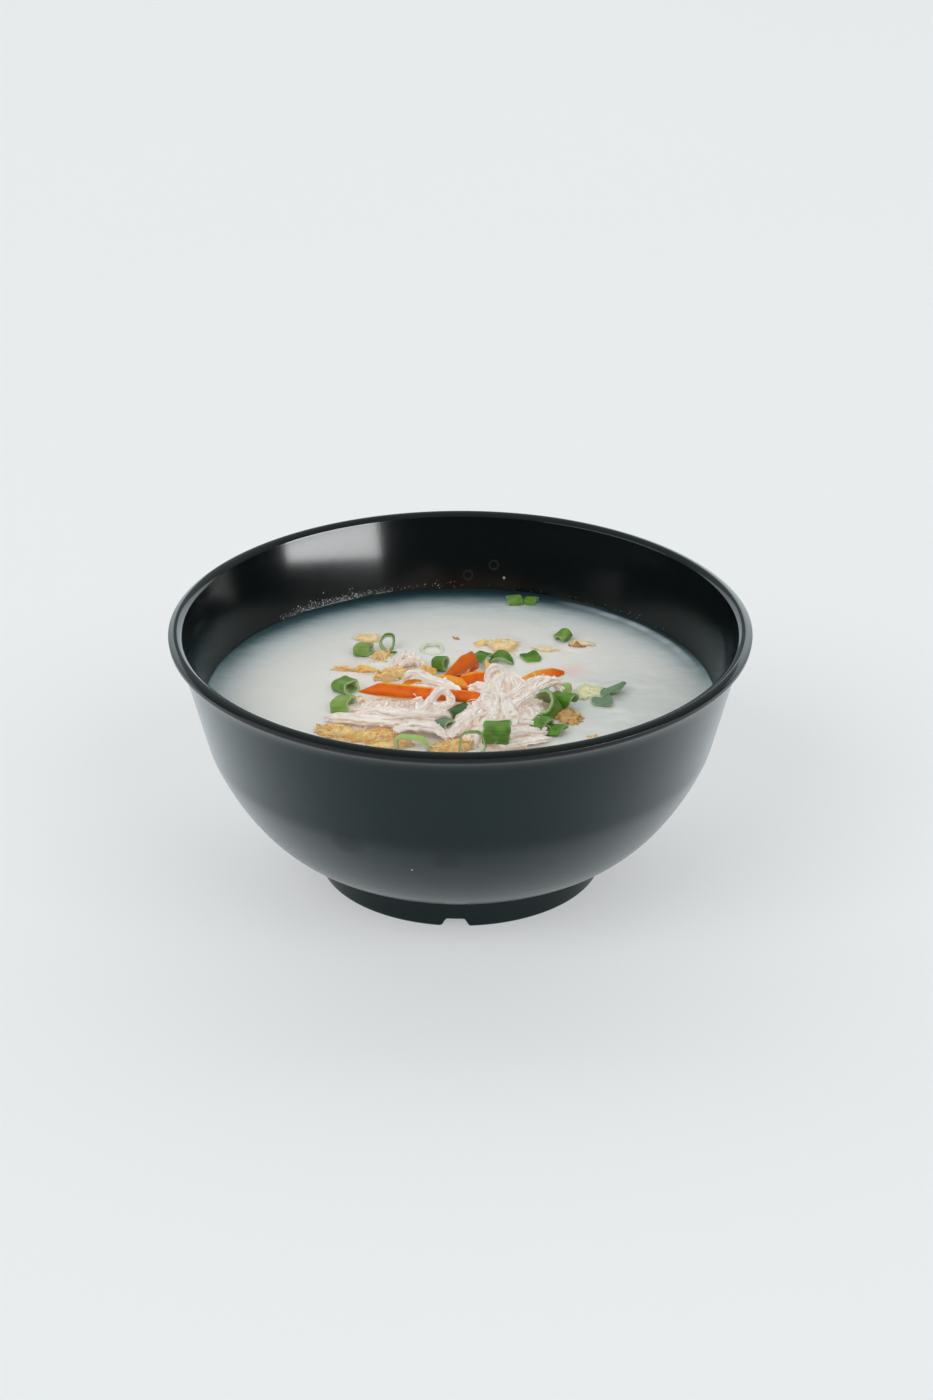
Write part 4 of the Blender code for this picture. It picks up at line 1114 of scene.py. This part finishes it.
def crispSliver(length, height, thickness, bend, seed):
    # a fried sliver: a thin band bent in an arc and twisted, its faces crinkled and its edges and ends uneven
    stations, sides = 30, 12
    s, v = np.linspace(-0.5, 0.5, stations)[:, None], fullTurn(sides)
    angle = math.radians(bend) * s
    radius = length / math.radians(bend)
    taper = (1 - 0.5 * np.abs(2 * s) ** 3) * np.sqrt(np.clip((0.5 - np.abs(s)) * 16 + 0.04, 0, 1))
    ragged = 1 + 0.22 * np.sin(11 * s + seed) + 0.12 * np.sin(23 * s + 2 * seed)
    up = np.sin(v) * height / 2 * taper * ragged
    crinkle = 0.22 * np.sin(1.9 * up + 8 * s + seed) + 0.14 * np.sin(19 * s + 2 * up + seed)
    off = squared(np.cos(v), 0.7) * thickness / 2 * taper + crinkle
    twist = 0.5 * np.sin(3.5 * s + seed)
    x = (radius + off) * np.sin(angle)
    y = radius - (radius + off) * np.cos(angle) + 0.3 * np.sin(9 * s + seed) + up * np.sin(twist)
    z = up * np.cos(twist) + 0.12 * height * np.sin(7 * s + seed)
    edge = np.abs(np.sin(v)) ** 3 + 0 * s
    return np.stack([x + 0 * v, y, z], axis=-1), edge


def addSliver(batch, centre, heading, tilt, roll, length, height, thickness, bend, pale, seed):
    # the sliver turned and centred on its place
    rows, edge = crispSliver(length, height, thickness, bend, seed)
    rows = centred(turned(rows, heading, tilt, roll), centre)
    batch.addTube(rows, edge=edge, pale=pale, fade=0.0)


def addCrumb(batch, spot, size, heading, tilt, pale, seed):
    # a broken bit: a small oval with shallow dents
    t = (np.linspace(0.05, 0.95, 6) * math.pi)[:, None]
    a = fullTurn(8)
    r = (1 + 0.3 * np.sin(3 * a + 2 * t + seed) * np.sin(t) + 0.2 * np.sin(2 * a - 5 * t + 2 * seed)) / 2
    ball = np.stack([-np.cos(t) * r, np.sin(t) * np.cos(a) * r, np.sin(t) * np.sin(a) * r], axis=-1)
    rows = turned(ball * size, heading, tilt) + spot
    batch.addTube(rows, edge=0.35, pale=pale, fade=0.0)


def addMat(batch, centre, heading, halfLong, halfWide, rise, pale, seed, crumple=0.45):
    # slivers matted together, or one large flake: a low crumpled sheet with a ragged outline and a thin edge
    steps, columns = 24, 72
    a = fullTurn(columns)
    share = np.concatenate([[0.0, 0.8], np.linspace(1, 0.03, steps)])[:, None]
    ragged = 1 + 0.1 * np.sin(3 * a + seed) + 0.06 * np.sin(5 * a + 2 * seed)
    ragged = ragged + 0.03 * np.sin(11 * a + 3 * seed)
    u, v = share * ragged * np.cos(a), share * ragged * np.sin(a)
    x, y = onOval(centre, heading, halfLong, halfWide, u, v)
    spot = np.stack([x, y, 0 * x], axis=-1)
    crumpled = randomField(spot, 2.1, seed) + 0.6 * randomField(spot, 1.0, seed + 3)
    z = congeeHeight(x, y) + rise * (1 - share**2) ** 0.6
    z = z + crumple * crumpled * np.clip(1.1 - share, 0, 1) + 0.12
    z[:2] = level - 0.6
    edge = np.clip(share * 1.6 - 0.9, 0, 1) * 0.6 + 0.4 * np.clip(crumpled, 0, 1)
    fade = np.clip(share * 2.2 - 1.2, 0, 1) * min(max(pale * 2.2 - 0.5, 0), 1) + 0 * a
    batch.addTube(np.stack([x, y, z], axis=-1), edge=edge, pale=pale, fade=fade)


def addFlakes(batch, centre, heading, halfLong, halfWide, height, count, pale, mat, seed, rng):
    # a heap: its matted base, with slivers and many crumbs strewn over it
    s = shallotShape
    addMat(batch, centre, heading, halfLong * 0.95, halfWide * 0.95, height * mat, pale + 0.1, seed)
    for k in range(count * s["perSliver"]):
        u, v, share = strewn(rng, 0, 0.8 if k < count else 1.15)
        x, y = onOval(centre, heading, halfLong, halfWide, u, v)
        dome = height * max(1 - share**2, 0) ** 0.6
        tone = pale + rng.normal(0, 0.18)
        if k < count:
            spot = (x, y, level + dome * (mat + (0.95 - mat) * rng.random()) + 0.3)
            length = rng.uniform(*s["sliverLength"]) * (1 - 0.3 * share)
            turns = heading + rng.normal(0, 26), rng.normal(0, 6), rng.uniform(5, 60)
            sizes = [rng.uniform(*limits) for limits in s["sliver"]]
            addSliver(batch, spot, *turns, length, *sizes, tone, rng.uniform(0, 9))
        else:
            spot = (x, y, level + dome * mat + rng.uniform(0.3, 0.75))
            size = np.array([rng.uniform(*limits) for limits in s["crumb"]])
            turns = heading + rng.normal(0, 45), rng.normal(0, 14)
            addCrumb(batch, spot, size, *turns, tone, rng.uniform(0, 9))


def makeShallots(finish):
    batch = Batch()
    rng = np.random.default_rng(8)
    for k, (node, (heading, roll, length, height, thickness, bend, pale)) in enumerate(curlShape.items()):
        doubled = length > shallotShape["doubled"]
        centre = middle(node) + (0, 0, 0.9 if doubled else 0)
        flat = thickness, bend, pale
        addSliver(batch, centre, heading, 0, roll, length, height, *flat, k * 1.9)
        if doubled:
            beside = centre + (0.8, -0.9, 0.1)
            addSliver(batch, beside, heading - 5, 0, roll + 40, length * 0.85, height * 0.8, *flat, 5.5)
    for n, (node, heap) in enumerate(flakeShape.items()):
        addFlakes(batch, middle(node), *heap, n + 3, rng)
    for n, (x, y, *heap) in enumerate(looseFlakes):
        addFlakes(batch, (x, y), *heap, n + 50, rng)
    for n, (x, y, heading, halfLong, halfWide, pale) in enumerate(soakedShape):
        addMat(batch, (x, y), heading, halfLong, halfWide, 0.3, pale, n + 30, 0.22)
    for n, (x, y, heading, length, pale) in enumerate(crumbShape):
        addSliver(batch, (x, y, level + 0.7), heading, 0, 50, length, 0.9, 0.6, 40, pale, n * 2.0)
    batch.piece("fried_shallots", finish, "fried_shallot", *curlShape, *flakeShape)


def shallotFinish():
    # fried golden with browner edges, with a faint painted glow; soaked slivers go pale and let the congee
    # through
    # the faint orange emission is painted light, a glow the shallots don't have
    f = Finish("fried_shallot_crisp", IOR=1.38, Emission_Color=(1.0, 0.6, 0.3, 1), Emission_Strength=0.06,
               Subsurface_Weight=0.6, Subsurface_Scale=0.0025, Subsurface_Radius=(1.0, 0.62, 0.3))
    edge, pale = f.named("edge"), f.named("pale")
    patch = f.noise(0.0016, 3.0)
    gold = f.mix(patch.between(0.35, 0.65), (0.86, 0.40, 0.085), (1.0, 0.73, 0.34))
    soaked = f.mix(patch.between(0.3, 0.7), (0.84, 0.62, 0.32), (0.88, 0.78, 0.54))
    dark = f.mix(patch.between(0.3, 0.7), (0.17, 0.075, 0.028), (0.52, 0.29, 0.12))
    colour = f.mix(pale.between(0.2, 1.0), gold, soaked)
    colour = f.mix(1 - pale.between(-0.6, 0.0), colour, dark)
    colour = f.mix(pale.between(1.0, 1.2), colour, (0.66, 0.70, 0.42))
    brown = edge * patch.between(0.4, 0.62) * (1 - pale.between(0.2, 0.9))
    colour = f.mix(brown * 0.55, colour, (0.42, 0.19, 0.06))
    roughness, alpha = 0.34 + patch * 0.25, 1 - f.named("fade")
    return f.finished(Base_Color=colour, Roughness=roughness, Alpha=alpha, Normal=f.bump(patch, 0.0003))


# ---- droplets above the congee

# between two azimuths: how many droplets, how high they reach, least and largest radius and how milky
dropShape = [
    (106, 138, 520, 1.2, (0.08, 0.22), 0.72), (136, 181, 430, 1.4, (0.07, 0.16), 0.12),
    (112, 136, 45, 1.7, (0.18, 0.34), 0.8), (88, 108, 34, 1.4, (0.1, 0.24), 0.6),
    (20, 88, 36, 1.0, (0.1, 0.2), 0.5), (-14, 40, 90, 1.0, (0.09, 0.15), 0.12),
    # the last row, a close line of milky beads just above the congee, is there for its pale colour: a painted
    # highlight for the glint along the congee's edge
    (113, 130, 200, 0.12, (0.12, 0.2), 0.6),
]


def makeDroplets(finish):
    # flattened beads of starch on the wall: two rings of six points each, the one further in smaller
    rng = np.random.default_rng(31)
    batch = Batch()
    ring = fullTurn(6)
    rise = np.array([0.0, 0.6])[:, None]
    shrink = np.array([1.0, 0.75])[:, None]
    for low, high, count, reach, (small, large), milk in dropShape:
        for _ in range(count):
            turn = math.radians(low + (high - low) * rng.beta(1.5, 1.5))
            size = small + (large - small) * rng.random() ** 2
            height = level + 1.0 + reach * (0.45 * rng.random() + abs(rng.normal(0, 0.7)))
            radius = wallRadius(height) + 0.04
            out = np.array([math.cos(turn), math.sin(turn), 0.25])
            side = np.array([-math.sin(turn), math.cos(turn), 0])
            up = np.cross(out, side)
            centre = np.array([radius * math.cos(turn), radius * math.sin(turn), height])
            across, along = np.cos(ring) * shrink * size, np.sin(ring) * shrink * size
            base = side * across[..., None] + up * along[..., None]
            rows = centre + base - out * (rise * size)[..., None]
            batch.addTube(rows, milk=milk * rng.uniform(0.3, 1.1))
    batch.piece("wall_droplets", finish, "rice_congee")


def dropletFinish():
    # clear to milky starch
    f = Finish("starch_droplets", IOR=1.36, Roughness=0.12)
    milk = f.named("milk") + f.noise(0.001) * 0.2
    colour = f.mix(milk.between(0.05, 1.0), (0.02, 0.035, 0.04), (0.62, 0.66, 0.67))
    return f.finished(Base_Color=colour)


# ---- scene

studio = {
    "floorTint": ((0.462, 0.482, 0.497), (0.482, 0.505, 0.517)), "floorGlow": 0.4, "floorReach": 5,
    # the room: its strength at its darkest and brightest, its tint, which way is bright, and between which
    # shares of that direction it fades
    "dim": 0.05, "bright": 0.26, "tint": (0.86, 0.975, 1.0), "brightTo": (0.0, 0.8, 1.0), "fade": (-0.6, 0.8),
    # the lights' distance in metres and their tints
    "away": 4.0, "warm": (1.0, 0.98, 0.95), "cool": (0.83, 0.96, 1.0), "plain": (0.96, 0.98, 0.985),
    # light: turn, lowest and highest edge, width and roll in degrees, glow, tint, and whether it lights
    # dull surfaces and shows its picture in polished ones
    "lights": {
        "window": (-33.0, 4.0, 27.0, 43.0, 4.0, 20.5, "plain", False, True),
        "fill_right": (-48.0, 28.0, 58.0, 50.0, 0.0, 2.4, "warm", True, False),
        "fill_left": (-132.0, 28.0, 58.0, 50.0, 0.0, 3.6, "warm", True, False),
        "room": (90.0, 2.0, 72.0, 130.0, 0.0, 0.98, "warm", True, False),
        "back_right": (61.0, 0.5, 30.0, 50.0, 0.0, 1.0, "cool", False, True),
        "back_left": (127.0, 0.5, 30.0, 46.0, 0.0, 0.75, "cool", False, True),
        "left_strip": (202.0, 18.0, 45.0, 62.0, 0.0, 1.3, "cool", False, True),
    },
    # lens and sensor height in millimetres, where the camera stands, and how far it looks down, in degrees
    "lens": 85.0, "sensor": 36.0, "stand": (0.002, -0.9756, 0.541), "down": 26.3,
}


def makeFloor():
    # white paper with a little light coming up through it, which keeps the shadows round the foot thin
    far = studio["floorReach"]
    mesh = bpy.data.meshes.new("floor")
    mesh.from_pydata([(-far, -far, 0), (far, -far, 0), (far, far, 0), (-far, far, 0)], [], [(0, 1, 2, 3)])
    f = Finish("floor_paper", Roughness=0.9, Specular_IOR_Level=0.0, Emission_Color=(0.98, 0.99, 1.0, 1),
               Emission_Strength=studio["floorGlow"])
    mesh.materials.append(f.finished(Base_Color=f.mix(f.noise(0.6, 2.0), *studio["floorTint"])))
    floor = bpy.data.objects.new("floor", mesh)
    bpy.context.scene.collection.objects.link(floor)


def makeLights():
    # upright soft panels that face the bowl; the window is the one that shows inside it
    away = studio["away"]
    for name, (turn, low, high, spread, roll, glow, tint, lightsDull, inGloss) in studio["lights"].items():
        turn = math.radians(turn)
        bottom, top = (away * math.tan(math.radians(edge)) for edge in (low, high))
        light = bpy.data.lights.new(name, "AREA")
        light.shape = "RECTANGLE"
        light.size = 2 * away * math.tan(math.radians(spread / 2))
        light.size_y = top - bottom
        light.energy = glow * math.pi * light.size * light.size_y
        light.color = studio[tint]
        made = bpy.data.objects.new(name, light)
        made.location = (away * math.cos(turn), away * math.sin(turn), (bottom + top) / 2)
        made.rotation_euler = (math.radians(90), math.radians(roll), turn + math.radians(90))
        made.visible_diffuse, made.visible_glossy = lightsDull, inGloss
        bpy.context.scene.collection.objects.link(made)


def makeCamera():
    # a long lens, about a metre back, looking down at the bowl
    data = bpy.data.cameras.new("camera")
    data.lens = studio["lens"]
    data.sensor_fit = "VERTICAL"
    data.sensor_height = studio["sensor"]
    camera = bpy.data.objects.new("camera", data)
    camera.location = studio["stand"]
    camera.rotation_euler = (math.radians(90 - studio["down"]), 0, 0)
    bpy.context.scene.collection.objects.link(camera)
    bpy.context.scene.camera = camera


def makeWorld():
    # a grey room all round and overhead that falls off to a dark corner low in front
    world = bpy.data.worlds.new("studio")
    world.use_nodes = True
    nodes, links = world.node_tree.nodes, world.node_tree.links
    background = nodes["Background"]
    kinds = ("ShaderNodeTexCoord", "ShaderNodeVectorMath", "ShaderNodeMapRange")
    spot, toward, ramp = (nodes.new(kind) for kind in kinds)
    toward.operation = "DOT_PRODUCT"
    toward.inputs[1].default_value = studio["brightTo"]
    ramp.interpolation_type = "SMOOTHSTEP"
    for k, value in enumerate((*studio["fade"], studio["dim"], studio["bright"])):
        ramp.inputs[k + 1].default_value = value
    links.new(spot.outputs["Generated"], toward.inputs[0])
    links.new(toward.outputs["Value"], ramp.inputs[0])
    links.new(ramp.outputs[0], background.inputs["Strength"])
    background.inputs["Color"].default_value = (*studio["tint"], 1)
    bpy.context.scene.world = world
    bpy.context.scene.view_settings.view_transform = "Standard"


makeFloor()
makeCamera()
makeWorld()
makeLights()
print("studio ready")

makeBowl(melamineFinish())
makeCongee(congeeFinish())
makeChicken(chickenFinish())
makeChilli(chilliFinish())
makeOnions(onionFinish())
makeShallots(shallotFinish())
makeDroplets(dropletFinish())
